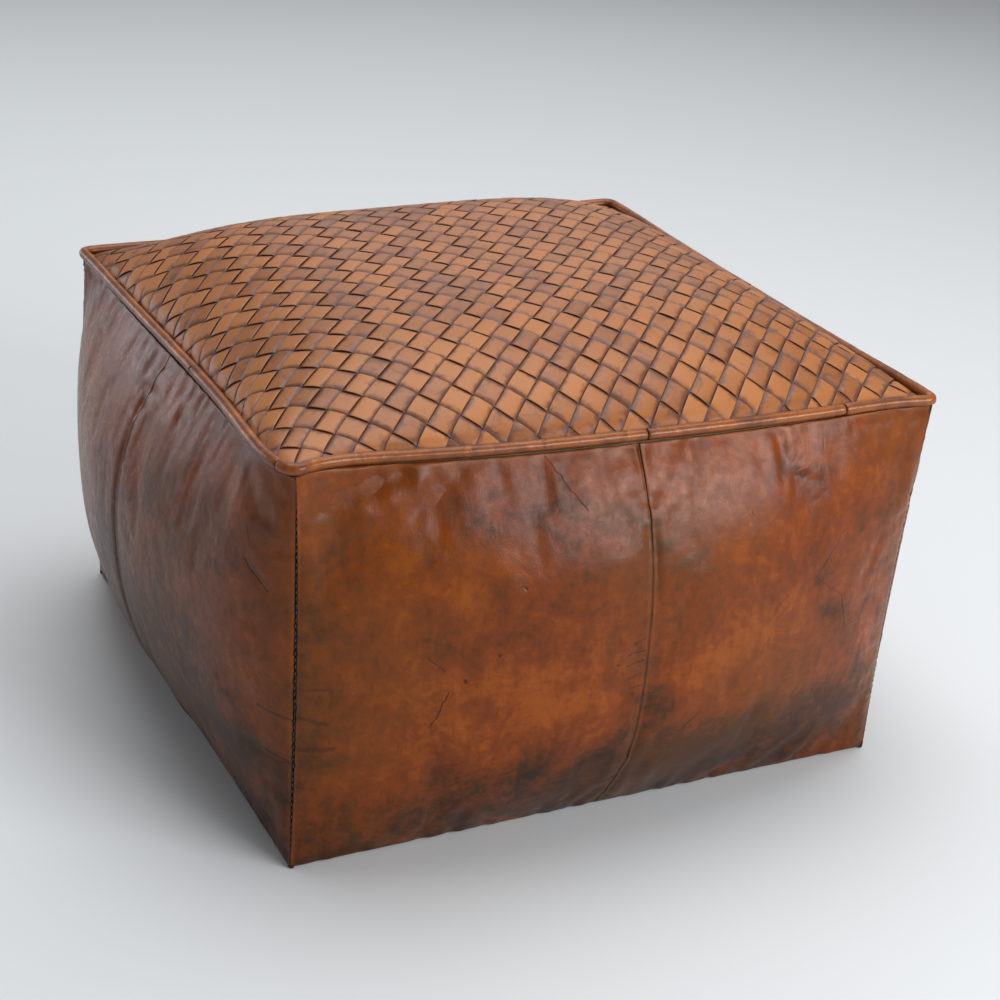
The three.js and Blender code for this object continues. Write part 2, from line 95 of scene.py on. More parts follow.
class Finish:
    """A material being made. put adds a shader node, with its settings and the values of its inputs."""

    def __init__(self, name, **surface):
        self.material = bpy.data.materials.new(name)
        self.material.use_nodes = True
        self.tree = self.material.node_tree
        self.surface = self.tree.nodes["Principled BSDF"]
        self.place = self.put("TexCoord").outputs["Object"]
        self.set(self.surface, {key.replace("_", " "): value for key, value in surface.items()})

    def set(self, node, inputs):
        for key, value in inputs.items():
            socket = node.inputs[key]
            if isinstance(value, bpy.types.NodeSocket):
                self.tree.links.new(value, socket)
            else:
                socket.default_value = value

    def put(self, kind, inputs=None, **settings):
        node = self.tree.nodes.new("ShaderNode" + kind)
        for key, value in settings.items():
            setattr(node, key, value)
        self.set(node, inputs or {})
        return node

    def stretched(self, x=1.0, y=1.0, z=1.0, turn=(0, 0, 0)):
        """Object coordinates turned and scaled, for marks that run one way."""
        inputs = {"Vector": self.place, "Scale": (x, y, z), "Rotation": turn}
        return self.put("Mapping", inputs).outputs["Vector"]

    def vectors(self, operation, a, b):
        return self.put("VectorMath", {0: a, 1: b}, operation=operation).outputs["Vector"]

    def wandering(self, size, reach, place=None, detail=4):
        """Coordinates pushed about by noise, each way by its reach, so that lines in them wander."""
        push = self.put("TexNoise", {"Vector": self.place, "Scale": 1 / size, "Detail": detail})
        centred = self.vectors("SUBTRACT", push.outputs["Color"], (0.5, 0.5, 0.5))
        return self.vectors("ADD", place or self.place, self.vectors("MULTIPLY", centred, reach))

    def noise(self, size, detail=3, roughness=0.5, distortion=0.0, place=None):
        """Cloudy noise of a size in metres, from 0 to 1."""
        inputs = {
            "Vector": place or self.place, "Scale": 1 / size, "Detail": detail,
            "Roughness": roughness, "Distortion": distortion,
        }
        return self.put("TexNoise", inputs).outputs["Fac"]

    def cells(self, size, feature="F1", place=None, uneven=1.0):
        """Distances in a pattern of cells of a size in metres."""
        inputs = {"Vector": place or self.place, "Scale": 1 / size, "Randomness": uneven}
        return self.put("TexVoronoi", inputs, feature=feature).outputs["Distance"]

    def measured(self, name):
        """A number stored in the mesh."""
        return self.put("Attribute", attribute_name=name).outputs["Fac"]

    def span(self, value, low, high, new_low=0.0, new_high=1.0):
        """value's range from low to high, stretched to a new range and held within it."""
        names = ("Value", "From Min", "From Max", "To Min", "To Max")
        inputs = dict(zip(names, (value, low, high, new_low, new_high)))
        return self.put("MapRange", inputs, interpolation_type="SMOOTHSTEP").outputs["Result"]

    def maths(self, operation, a, b=0.0):
        node = self.put("Math", operation=operation)
        for socket, value in zip(node.inputs, (a, b)):
            if isinstance(value, bpy.types.NodeSocket):
                self.tree.links.new(value, socket)
            else:
                socket.default_value = value
        return node.outputs["Value"]

    def mix(self, amount, a, b, blend="MIX"):
        """Colour a turning into colour b."""
        node = self.put("Mix", data_type="RGBA", blend_type=blend)
        sockets = [s for s in node.inputs if s.enabled]
        for socket, value in zip((sockets[0], sockets[1], sockets[2]), (amount, a, b)):
            if isinstance(value, bpy.types.NodeSocket):
                self.tree.links.new(value, socket)
            elif isinstance(value, tuple):
                socket.default_value = (*value, 1)
            else:
                socket.default_value = value
        return next(s for s in node.outputs if s.enabled)

    def bump(self, height, depth, below=None):
        """Relief of a depth in metres, laid over the relief below it."""
        inputs = {"Height": height, "Strength": 1.0, "Distance": depth}
        if below is not None:
            inputs["Normal"] = below
        return self.put("Bump", inputs).outputs["Normal"]


def finish_piece(piece, material, slot, *nodes, body="cover"):
    """Gives a piece its material and puts it on its body in place of its CAD nodes. slot is not used."""
    piece.data.materials.clear()
    piece.data.materials.append(material)
    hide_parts(*nodes)
    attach(piece, body)


def foam_finish():
    """Open-cell foam, yellowed unevenly with age."""
    foam = Finish("cut_foam", Roughness=1.0)
    cells = foam.cells(1.6 * MM)
    aged = foam.noise(90 * MM)
    colour = foam.mix(foam.span(aged, 0.35, 0.7), (0.71, 0.65, 0.44), (0.62, 0.53, 0.31))
    colour = foam.mix(foam.span(cells, 0.1, 0.5, 0.35, 0.0), colour, (0.36, 0.29, 0.15))
    foam.set(foam.surface, {"Base Color": colour, "Normal": foam.bump(cells, 0.4 * MM)})
    return foam.material


def cut_block(name, low, high, easing):
    """A block with rounded edges and enough faces to take a little unevenness."""
    form = bmesh.new()
    bmesh.ops.create_cube(form, size=1)
    middle, size = (low + high) / 2, high - low
    bmesh.ops.scale(form, vec=size, verts=form.verts)
    bmesh.ops.translate(form, vec=middle, verts=form.verts)
    bmesh.ops.bevel(form, geom=form.edges[:], offset=easing, segments=4, profile=0.5, affect="EDGES")
    long_edges = [edge for edge in form.edges if edge.calc_length() > min(size) / 2]
    bmesh.ops.subdivide_edges(form, edges=long_edges, cuts=12, use_grid_fill=True)
    mesh = bpy.data.meshes.new(name)
    form.to_mesh(mesh)
    form.free()
    mesh.shade_smooth()
    piece = bpy.data.objects.new(name, mesh)
    bpy.context.scene.collection.objects.link(piece)
    return piece


foam_block = cut_block("foam_block", FOAM_LOW, FOAM_HIGH, 6 * MM)
roughen(foam_block, 70 * MM, -0.6 * MM)
finish_piece(foam_block, foam_finish(), "foam", "foam_core")


# ---- Wadding ----
# Six sheets of white fibre wadding round off the foam block: a deep one on the top, a thin one
# on the base and one wedge to each side, mitred where they meet at the corners.

TOP_EDGE = 510 * MM
BASE_EDGE = 495 * MM
SEAM_HEIGHT = 308 * MM
CORNER_LIFT = 1.6 * MM
CROWN = 58 * MM
CROWN_FLATNESS = 3.9
CORNER_BOW = -2.2 * MM
BULGE_SPREAD = 0.61
PINCH_PLACE = 0.09
BASE_WAIST = 1.8 * MM
GAP = 0.3 * MM

CORNERS = ("front_left", "front_right", "rear_right", "rear_left")
CORNER_SIGNS = np.array([(-1, -1), (1, -1), (1, 1), (-1, 1)])
# Hand stuffing leaves each top corner a little off its nominal place.
CORNER_SHIFTS = np.array([(2.8, 2, 4.7), (0.2, -1.8, -2.6), (-1.7, 1.3, 0), (-1.3, -1.5, -7)]) * MM

# bulge holds a face's main swell, its shift up or down and its squareness; pinch is how far the
# top seam leaves the straight line at each end.
FACES = {
    "front": {"start": 0, "out": (0, -1), "bulge": (56, -1.3, 4.7), "pinch": (-12.7, -7.1)},
    "right": {"start": 1, "out": (1, 0), "bulge": (55, 1.2, 3.2), "pinch": (2.9, 2.9)},
    "rear": {"start": 2, "out": (0, 1), "bulge": (56, -1.3, 4.7), "pinch": (2.9, 2.9)},
    "left": {"start": 3, "out": (-1, 0), "bulge": (55, 1.2, 3.2), "pinch": (-1.6, 9.1)},
}


def between(a, b, share):
    """Points part of the way from a to b, for an array of shares."""
    share = np.asarray(share, float)[..., None]
    return a * (1 - share) + b * share


def outward(face):
    return np.array([*FACES[face]["out"], 0.0])


def top_corner(index, side, top):
    x, y = CORNER_SIGNS[index % 4] * (TOP_EDGE / 2 - side)
    return np.array([x, y, SEAM_HEIGHT + CORNER_LIFT - top]) + CORNER_SHIFTS[index % 4]


def base_corner(index, side, base):
    x, y = CORNER_SIGNS[index % 4] * (BASE_EDGE / 2 - side)
    return np.array([x, y, base])


def pinch_shape(t):
    return (1 - t) * (t / PINCH_PLACE) * np.exp(1 - t / PINCH_PLACE)


def top_edge(face, t, side=0.0, top=0.0):
    """The piped seam of a face, t from its start corner to its end corner."""
    t = np.asarray(t, float)
    start = FACES[face]["start"]
    near, far = np.array(FACES[face]["pinch"]) * MM
    out = near * pinch_shape(t) + far * pinch_shape(1 - t)
    line = between(top_corner(start, side, top), top_corner(start + 1, side, top), t)
    line = line + out[..., None] * outward(face)
    line[..., 2] -= CORNER_LIFT * (1 - np.abs(2 * t - 1) ** 6)
    return line


def base_edge(face, t, side=0.0, base=0.0):
    t = np.asarray(t, float)
    start = FACES[face]["start"]
    line = between(base_corner(start, side, base), base_corner(start + 1, side, base), t)
    return line - (BASE_WAIST * 4 * t * (1 - t))[..., None] * outward(face)


def side_point(face, t, v, side=0.0, top=0.0, base=0.0):
    """The stuffed side: t runs along the face, v from the piped seam down to the base seam."""
    t, v = np.broadcast_arrays(np.asarray(t, float), np.asarray(v, float))
    swell, shift, square = np.array(FACES[face]["bulge"]) * MM
    rise = np.sin(np.pi * v)
    profile = swell * rise + shift * np.sin(2 * np.pi * v) + square * np.sin(3 * np.pi * v)
    spread = np.sin(np.pi * np.clip(t, 0, 1)) ** BULGE_SPREAD
    bow = CORNER_BOW * rise * (1 - spread)
    start = FACES[face]["start"]
    corner_x = between(CORNER_SIGNS[start], CORNER_SIGNS[(start + 1) % 4], t)
    down = v[..., None]
    place = top_edge(face, t, side, top) * (1 - down) + base_edge(face, t, side, base) * down
    place = place + (profile * spread)[..., None] * outward(face)
    place[..., :2] += corner_x * bow[..., None]
    return place


def patch(s, t, edge, corner):
    """A surface stretched over four edges, s from left to right and t from front to rear."""
    s, t = np.broadcast_arrays(np.asarray(s, float), np.asarray(t, float))
    across, along = s[..., None], t[..., None]
    ruled = edge("front", s) * (1 - along) + edge("rear", 1 - s) * along
    ruled = ruled + edge("left", 1 - t) * (1 - across) + edge("right", t) * across
    ruled = ruled - corner(0) * (1 - across) * (1 - along) - corner(1) * across * (1 - along)
    return ruled - corner(2) * across * along - corner(3) * (1 - across) * along


def top_point(s, t, side=0.0, top=0.0):
    """The crowned top: s from left to right, t from front to rear."""
    place = patch(s, t, lambda f, a: top_edge(f, a, side, top), lambda i: top_corner(i, side, top))
    crown = (1 - np.abs(2 * np.asarray(s) - 1) ** CROWN_FLATNESS)
    crown = crown * (1 - np.abs(2 * np.asarray(t) - 1) ** CROWN_FLATNESS)
    place[..., 2] += CROWN * crown
    return place


def base_point(s, t, side=0.0, base=0.0):
    return patch(s, t, lambda f, a: base_edge(f, a, side, base), lambda i: base_corner(i, side, base))


RING_STEPS = 28     # points of a ring along each face


def ring_places():
    """Where the points of a ring lie: (face, t) and the matching place (s, t) on the top or base."""
    steps = np.arange(RING_STEPS) / RING_STEPS
    ends = np.zeros(RING_STEPS)
    across = np.concatenate([steps, ends + 1, 1 - steps, ends])
    along = np.concatenate([ends, steps, ends + 1, 1 - steps])
    return steps, across, along


def side_ring(v, **layer):
    steps, _, _ = ring_places()
    return np.concatenate([side_point(face, steps, v, **layer) for face in FACES])


def inner_ring(surface, share, **layer):
    """A ring on the top or base, share 1 at its edge and 0 at its middle."""
    _, across, along = ring_places()
    return surface(0.5 + (across - 0.5) * share, 0.5 + (along - 0.5) * share, **layer)


def ring_faces(rows, count):
    """Faces round rings of points stored one ring after another."""
    faces = []
    for near in range(0, (rows - 1) * count, count):
        for i in range(count):
            j = (i + 1) % count
            faces.append((near + i, near + j, near + count + j, near + count + i))
    return faces


def ring_solid(name, rings):
    """A closed solid wrapped in rings of points, each end drawn together at its middle."""
    count = len(rings[0])
    points = np.concatenate([*rings, [rings[0].mean(0)], [rings[-1].mean(0)]])
    faces = ring_faces(len(rings), count)
    last = (len(rings) - 1) * count
    for i in range(count):
        j = (i + 1) % count
        faces.append((len(points) - 2, j, i))
        faces.append((len(points) - 1, last + i, last + j))
    return mesh_piece(name, points, faces)


WADDING = {"side": 7.3 * MM, "top": 10.3 * MM, "base": 3.9 * MM}
WADDING_LIFT = 11 * MM      # the lower wadding arches over the zip by this much
ZIP_CLEARANCE = 23 * MM
ARCH_FOOT = 8 * MM


def over_the_zip(points):
    """Raises the points that lie above the zip."""
    away = np.abs(points[:, 1])
    share = np.clip((ZIP_CLEARANCE + ARCH_FOOT - away) / ARCH_FOOT, 0, 1)
    raised = points.copy()
    raised[:, 2] += WADDING_LIFT * share * share * (3 - 2 * share)
    return raised


def wadding_finish():
    """White polyester fibre with a matted, hairy surface."""
    fibre = Finish("fibre_wadding", Roughness=1.0)
    fibre.surface.inputs["Sheen Weight"].default_value = 0.4
    tufts = fibre.noise(16 * MM, detail=6, roughness=0.7, distortion=1.5)
    hairs = fibre.noise(1.2 * MM, detail=4, roughness=0.8, distortion=3)
    colour = fibre.mix(fibre.span(tufts, 0.3, 0.7), (0.80, 0.77, 0.70), (0.90, 0.88, 0.83))
    relief = fibre.bump(hairs, 0.8 * MM, fibre.bump(tufts, 3 * MM))
    fibre.set(fibre.surface, {"Base Color": colour, "Normal": relief})
    return fibre.material


white_wadding = wadding_finish()


def height_share(z, base):
    """How far down the side a height is, as v of side_point."""
    return (SEAM_HEIGHT - z) / (SEAM_HEIGHT - base)


top_shares = (0.25, 0.5, 0.75, 0.9, 0.97)
at_foam_top = height_share(FOAM_HIGH.z + GAP, WADDING["base"])
rest_ring = side_ring(at_foam_top, **WADDING)
flat_rings = [between(rest_ring.mean(0), rest_ring, share) for share in (0.3, 0.6, 0.85, 1)]
side_rings = [side_ring(at_foam_top * share, **WADDING) for share in (0.75, 0.5, 0.25)]
crown_layer = {"side": WADDING["side"], "top": WADDING["top"]}
crown_rings = [inner_ring(top_point, share, **crown_layer) for share in (1, *reversed(top_shares))]
top_wadding = ring_solid("top_wadding", [*flat_rings, *side_rings, *crown_rings])

at_foam_base = height_share(FOAM_LOW.z - GAP, WADDING["base"])
rest_ring = side_ring(at_foam_base, **WADDING)
floor_shares = (0.02, 0.06, 0.12, 0.3, 0.6, 0.8, 0.9, 1)
floor_layer = {"side": WADDING["side"], "base": WADDING["base"]}
floor_rings = [over_the_zip(inner_ring(base_point, share, **floor_layer)) for share in floor_shares]
lid_rings = [between(rest_ring.mean(0), rest_ring, share) for share in (1, 0.85, 0.6, 0.3)]
low_ring = side_ring((1 + at_foam_base) / 2, **WADDING)
base_wadding = ring_solid("base_wadding", [*floor_rings, low_ring, *lid_rings])

for piece, node in ((top_wadding, "wadding_top"), (base_wadding, "wadding_base")):
    roughen(piece, 45 * MM, -1.2 * MM)
    finish_piece(piece, white_wadding, "wadding", node)


def grid_faces(rows, columns, first=0, flipped=False):
    """Four-sided faces over a grid of points stored row by row."""
    index = first + np.arange(rows * columns).reshape(rows, columns)
    corners = (index[:-1, :-1], index[:-1, 1:], index[1:, 1:], index[1:, :-1])
    faces = np.stack([c.ravel() for c in corners], 1)
    return faces[:, ::-1] if flipped else faces


def skin_piece(name, outside, inside, flipped=False):
    """A closed solid between two grids of points, with its rim."""
    rows, columns = outside.shape[:2]
    count = rows * columns
    index = np.arange(count).reshape(rows, columns)
    rim = np.concatenate([index[0, :-1], index[:-1, -1], index[-1, :0:-1], index[:0:-1, 0]])
    rim_faces = [(b, a, a + count, b + count) for a, b in zip(rim, np.roll(rim, -1))]
    faces = [*grid_faces(rows, columns), *grid_faces(rows, columns, count, True), *rim_faces]
    if flipped:
        faces = [tuple(reversed(tuple(f))) for f in faces]
    points = np.concatenate([outside.reshape(-1, 3), inside.reshape(-1, 3)])
    return mesh_piece(name, points, faces)


def foam_wall(face, t, z):
    """Points on the foam's side, from corner to corner, at a height."""
    start = FACES[face]["start"]
    half = FOAM_HIGH.x + GAP
    corners = [np.array([*(CORNER_SIGNS[i % 4] * half), 0.0]) for i in (start, start + 1)]
    wall = between(*corners, t)
    wall[..., 2] = z
    return wall


for face in FACES:
    shares = np.linspace(0.002, 0.998, 25)
    heights = np.linspace(FOAM_HIGH.z - GAP, FOAM_LOW.z + GAP, 12)
    t, z = np.meshgrid(shares, heights)
    outside = side_point(face, t, height_share(z, WADDING["base"]), **WADDING)
    wedge = skin_piece(f"{face}_wadding", outside, foam_wall(face, t, z), flipped=True)
    roughen(wedge, 45 * MM, -0.2 * MM)
    finish_piece(wedge, white_wadding, "wadding", f"wadding_{face}")


# ---- Cotton bag ----
# The stuffing sits in a bag of unbleached cotton, so that it can be lifted out of the cover.
# The bag is filled through a slit in its underside, which lies above the zip of the cover.

LEATHER = 2 * MM
CANVAS = 1 * MM
BAG = {"side": 6 * MM, "top": 9 * MM, "base": LEATHER + 2 * GAP}
BAG_SLIT = (150 * MM, 2 * MM)


def canvas_finish(name, light, dark, thread=0.9 * MM):
    """Plain-woven cotton in two tones, with its threads raised."""
    canvas = Finish(name, Roughness=0.95)
    canvas.surface.inputs["Sheen Weight"].default_value = 0.15
    relief = None
    for turn in ((0, 0, 0), (0, 0, math.pi / 2)):
        place = canvas.stretched(1, 1, 1, turn)
        rows = canvas.put("TexWave", {"Vector": place, "Scale": 0.314 / thread, "Distortion": 0.6})
        relief = canvas.bump(rows.outputs["Fac"], 0.25 * MM, relief)
    slubs = canvas.noise(4 * MM, detail=5, place=canvas.stretched(1, 0.2, 1))
    colour = canvas.mix(canvas.span(slubs, 0.35, 0.65), light, dark)
    canvas.set(canvas.surface, {"Base Color": colour, "Normal": relief})
    return canvas.material


unbleached = canvas_finish("unbleached_cotton", (0.62, 0.54, 0.39), (0.52, 0.44, 0.30))


def slit_ring():
    """The slit's outline, with its points in step with a ring's."""
    _, across, along = ring_places()
    length, width = BAG_SLIT
    outline = np.stack([(2 * across - 1) * length, (2 * along - 1) * width, 0 * across], 1)
    return outline + (0, 0, BAG["base"] + CANVAS)


bag_foot = inner_ring(base_point, 1, side=BAG["side"], base=BAG["base"] + CANVAS)
bag_crown = {"side": BAG["side"], "top": BAG["top"]}
slit_shares = (0, 0.04, 0.08, 0.14, 0.25, 0.45, 0.7, 0.9, 1)
bag_rings = [over_the_zip(between(slit_ring(), bag_foot, share)) for share in slit_shares]
bag_rings += [side_ring(v, **BAG) for v in np.linspace(0.95, 0.05, 12)]
bag_rings += [inner_ring(top_point, share, **bag_crown) for share in (1, *reversed(top_shares))]
cotton_bag = ring_solid("cotton_bag", bag_rings)


def apply_modifiers(piece):
    """Replaces a piece's mesh with what its modifiers make of it."""
    evaluated = piece.evaluated_get(bpy.context.evaluated_depsgraph_get())
    made = bpy.data.meshes.new_from_object(evaluated)
    piece.modifiers.clear()
    old = piece.data
    made.name = piece.name
    piece.data = made
    bpy.data.meshes.remove(old)


opened = bmesh.new()
opened.from_mesh(cotton_bag.data)
opened.verts.ensure_lookup_table()
bmesh.ops.delete(opened, geom=[opened.verts[len(opened.verts) - 2]], context="VERTS")
opened.to_mesh(cotton_bag.data)
opened.free()
roughen(cotton_bag, 40 * MM, -1.0 * MM)
skin = cotton_bag.modifiers.new("skin", "SOLIDIFY")
skin.thickness = 0.5 * MM
skin.offset = -1
apply_modifiers(cotton_bag)
finish_piece(cotton_bag, unbleached, "cotton_canvas", "inner_bag")


# ---- Side panels ----
# Each face is two panels of polished goatskin, 2 mm thick, stained by hand in uneven washes of
# dye. They are sewn together inside out, so that every seam shows as a groove between turned
# edges. The stuffing swells them, and the seams hold them in and pucker them. Their colour also
# holds painted shade low on each face, in the seam grooves and along the base edge, and a painted
# highlight on the crests of the turned edges.

PIPING_RADIUS = 4.4 * MM
SIDE_TOP = PIPING_RADIUS / SEAM_HEIGHT
TURNED_EDGE = 1.1 * MM
BASE_TURN = 3 * MM
SEAM_VALLEY = (0.6 * MM, 8 * MM)    # depth and width of the dip beside a seam
CORNER_DYE = (0.25, 10 * MM)        # how much dye gathers there, and over what width
MIDDLE_DYE = (0.2, 9 * MM)
PANEL_CELL = 2.8 * MM
FOLD_LIMIT = 5 * MM
FOLD_SHARE = 0.4                    # how much of the blown-up folds the stiff leather keeps
CLOTH_SLACK = 2.5 * MM
CLOTH_COLUMNS, CLOTH_ROWS = 52, 34  # cells of each face


def swollen_sides():
    """How far stuffing moves the sides from their drawn shape: a grid of moves for each face.

    The sides are one tube of cloth, held along its seams, cut a little too large and blown up,
    so that it folds near the seams as stuffed leather does."""
    heights = np.linspace(SIDE_TOP, 1, CLOTH_ROWS + 1)
    steps = np.arange(CLOTH_COLUMNS) / CLOTH_COLUMNS
    t, v = np.meshgrid(steps, heights)
    drawn = np.concatenate([side_point(face, t, v) for face in FACES], 1)
    slack = CLOTH_SLACK * (np.sin(np.pi * v) * np.sin(np.pi * t))[..., None]
    start = drawn - np.concatenate([slack * outward(face) for face in FACES], 1)
    rows, columns = start.shape[:2]
    index = np.arange(rows * columns).reshape(rows, columns)
    across = np.roll(index, -1, 1)
    corners = (index[:-1], index[1:], across[1:], across[:-1])
    faces = np.stack([c.ravel() for c in corners], 1)
    tube = mesh_piece("swelling", start.reshape(-1, 3), faces)
    held = tube.vertex_groups.new(name="held")
    held.add([int(i) for i in np.concatenate([index[0], index[-1]])], 1.0, "REPLACE")
    held.add([int(i) for i in index[1:-1, ::CLOTH_COLUMNS].ravel()], 1.0, "REPLACE")
    held.add([int(i) for i in index[1:-1, CLOTH_COLUMNS // 2::CLOTH_COLUMNS].ravel()], 0.5, "REPLACE")
    cloth = tube.modifiers.new("cloth", "CLOTH")
    settings = cloth.settings
    settings.quality = 6
    settings.mass = 0.5
    settings.tension_stiffness = 25
    settings.compression_stiffness = 25
    settings.shear_stiffness = 8
    settings.bending_stiffness = 1.2
    settings.vertex_group_mass = "held"
    settings.pin_stiffness = 4
    settings.shrink_min = -0.022
    settings.use_pressure = True
    settings.uniform_pressure_force = 4
    settings.effector_weights.gravity = 0
    cloth.collision_settings.use_collision = False
    scene = bpy.context.scene
    for number in range(1, 21):
        scene.frame_set(number)
    evaluated = tube.evaluated_get(bpy.context.evaluated_depsgraph_get())
    settled = np.empty(rows * columns * 3)
    evaluated.data.vertices.foreach_get("co", settled)
    scene.frame_set(1)
    bpy.data.objects.remove(tube)
    moves = without_swell(settled.reshape(rows, columns, 3) - drawn)
    size = np.linalg.norm(moves, axis=2, keepdims=True)
    moves *= FOLD_LIMIT / np.maximum(size, FOLD_LIMIT)
    moves = np.concatenate([moves, moves[:, :1]], 1)
    return {
        face: moves[:, k * CLOTH_COLUMNS:(k + 1) * CLOTH_COLUMNS + 1]
        for k, face in enumerate(FACES)
    }


def without_swell(moves):
    """Keeps the folds of a blown-up tube and takes away its even swelling."""
    even = moves.copy()
    for _ in range(60):
        inner = (even[:-2] + 2 * even[1:-1] + even[2:]) / 4
        even = np.concatenate([even[:1], inner, even[-1:]])
        even = (np.roll(even, 1, 1) + 2 * even + np.roll(even, -1, 1)) / 4
    return FOLD_SHARE * (moves - even)


side_moves = swollen_sides()


def sampled(grid, t, v):
    """Values of a grid over a face at places (t, v), with v from the panel's top."""
    rows, columns = grid.shape[0] - 1, grid.shape[1] - 1
    x = np.clip(t, 0, 1) * columns
    y = np.clip((v - SIDE_TOP) / (1 - SIDE_TOP), 0, 1) * rows
    i, j = np.minimum(x.astype(int), columns - 1), np.minimum(y.astype(int), rows - 1)
    fx, fy = (x - i)[..., None], (y - j)[..., None]
    fx, fy = fx * fx * (3 - 2 * fx), fy * fy * (3 - 2 * fy)
    upper = grid[j, i] * (1 - fx) + grid[j, i + 1] * fx
    lower = grid[j + 1, i] * (1 - fx) + grid[j + 1, i + 1] * fx
    return upper * (1 - fy) + lower * fy


def grid_normals(points):
    """Directions square to a grid of points, pointing out of the face it was drawn for."""
    down, across = np.gradient(points, axis=(0, 1))
    normal = np.cross(down, across)
    return normal / np.linalg.norm(normal, axis=2, keepdims=True)


def lengths_along(points, axis):
    """How far each grid point lies from the first one of its row or column."""
    steps = np.linalg.norm(np.diff(points, axis=axis), axis=2)
    start = np.zeros_like(np.take(steps, [0], axis=axis))
    return np.concatenate([start, np.cumsum(steps, axis=axis)], axis=axis)


def crowded(length, cell):
    """Places along a length, closer together near both ends."""
    near = np.array([0, 0.35, 0.8, 1.4, 2.2, 3.3, 4.8, 6.8]) * MM
    count = max(2, round((length - 2 * near[-1]) / cell))
    middle = np.linspace(near[-1], length - near[-1], count + 1)
    return np.concatenate([near[:-1], middle, length - near[-2::-1]])


def turned_in(distance, radius=TURNED_EDGE):
    """How deep a rounded edge lies at a distance from its seam."""
    inside = np.clip(radius - distance, 0, radius)
    return radius - np.sqrt(radius * radius - inside * inside)


def puckers(along, away, seed, depth, reach, gap=11 * MM, breadth=1.0):
    """Small folds that leave a seam sideways: along is measured on the seam, away from it."""
    random = np.random.default_rng(seed)
    relief = np.zeros_like(along)
    places = np.arange(0, along.max(), gap)
    for place in places + random.uniform(-0.4, 0.4, len(places)) * gap:
        width = random.uniform(1.6, 3.4) * breadth * MM
        length = random.uniform(0.4, 1.3) * reach
        slant = random.uniform(-0.35, 0.35)
        strength = random.uniform(0.1, 1) ** 2 * depth
        offset = (along - place - slant * away) / width
        relief -= strength * np.exp(-offset * offset - (away / length) ** 2)
        relief += 0.5 * strength * np.exp(-(offset - 1.7) ** 2 - (away / length) ** 2)
    return relief


# Folds that the stuffing leaves: start and end as (t, v) on the face, half width and depth in mm.
FOLDS = {
    "front": [
        ((0.03, 0.10), (0.17, 0.03), 7, 1.6), ((0.08, 0.19), (0.24, 0.03), 8, 1.3),
        ((0.15, 0.16), (0.20, 0.05), 5, 0.8), ((0.36, 0.02), (0.40, 0.12), 2.5, 0.5),
        ((0.73, 0.02), (0.735, 0.11), 4, 0.9), ((0.74, 0.12), (0.80, 0.15), 3, 0.7),
        ((0.80, 0.97), (0.86, 0.86), 8, 1.5), ((0.86, 0.99), (0.90, 0.86), 7, 1.5),
        ((0.70, 0.98), (0.76, 0.90), 7, 1.0), ((0.52, 0.80), (0.55, 0.97), 6, 1.2),
        ((0.56, 0.88), (0.60, 0.99), 7, 1.2), ((0.42, 0.84), (0.44, 0.98), 6, 1.1),
        ((0.20, 0.86), (0.22, 0.99), 7, 0.9), ((0.93, 0.32), (0.90, 0.45), 5, 0.9),
        ((0.95, 0.07), (0.99, 0.02), 5, 0.9), ((0.88, 0.05), (0.96, 0.14), 6, 0.8),
    ],
    "left": [
        ((0.55, 0.02), (0.58, 0.10), 5, 1.0), ((0.60, 0.02), (0.64, 0.12), 5, 1.1),
        ((0.66, 0.02), (0.69, 0.09), 4, 0.8), ((0.05, 0.05), (0.13, 0.02), 6, 1.0),
        ((0.70, 0.28), (0.78, 0.24), 7, 0.9), ((0.93, 0.23), (0.97, 0.30), 4, 0.8),
        ((0.84, 0.73), (0.98, 0.70), 6, 1.0), ((0.30, 0.95), (0.36, 0.84), 8, 1.2),
        ((0.62, 0.97), (0.66, 0.86), 8, 1.2), ((0.44, 0.96), (0.46, 0.86), 7, 1.0),
    ],
    "right": [
        ((0.04, 0.12), (0.16, 0.03), 7, 1.4), ((0.82, 0.03), (0.95, 0.14), 8, 1.5),
        ((0.20, 0.97), (0.26, 0.85), 8, 1.3), ((0.55, 0.86), (0.58, 0.98), 7, 1.2),
        ((0.74, 0.97), (0.80, 0.88), 8, 1.2), ((0.40, 0.02), (0.42, 0.11), 4, 0.8),
        ((0.60, 0.30), (0.68, 0.36), 6, 0.7), ((0.88, 0.55), (0.97, 0.52), 6, 1.0),
    ],
    "rear": [
        ((0.05, 0.14), (0.19, 0.03), 8, 1.5), ((0.80, 0.03), (0.92, 0.16), 7, 1.5),
        ((0.30, 0.97), (0.36, 0.85), 8, 1.3), ((0.66, 0.85), (0.69, 0.98), 7, 1.2),
        ((0.56, 0.02), (0.60, 0.11), 4, 0.8), ((0.12, 0.95), (0.18, 0.86), 7, 1.0),
        ((0.22, 0.40), (0.27, 0.47), 5, 0.7), ((0.90, 0.62), (0.98, 0.60), 6, 1.0),
    ],
}


def near_line(face, t, v, start, end):
    """Distance in metres from a line on a face, and the share of the line's length passed."""
    scale = np.array([TOP_EDGE, SEAM_HEIGHT])
    a, b = np.array(start) * scale, np.array(end) * scale
    place = np.stack([t * scale[0], v * scale[1]], -1) - a
    direction = b - a
    share = np.clip((place @ direction) / (direction @ direction), 0, 1)
    away = place - share[..., None] * direction
    side = np.sign(away[..., 0] * direction[1] - away[..., 1] * direction[0])
    return np.linalg.norm(away, axis=-1) * side, share


def folds(face, t, v):
    relief = np.zeros_like(t)
    for start, end, width, depth in FOLDS[face]:
        away, share = near_line(face, t, v, start, end)
        fade = 1 - 0.75 * (2 * share - 1) ** 2
        across = away / (width * MM)
        relief -= depth * MM * fade * np.exp(-across * across)
        relief += 0.7 * depth * MM * fade * np.exp(-(across - 1.8) ** 2)
    return relief
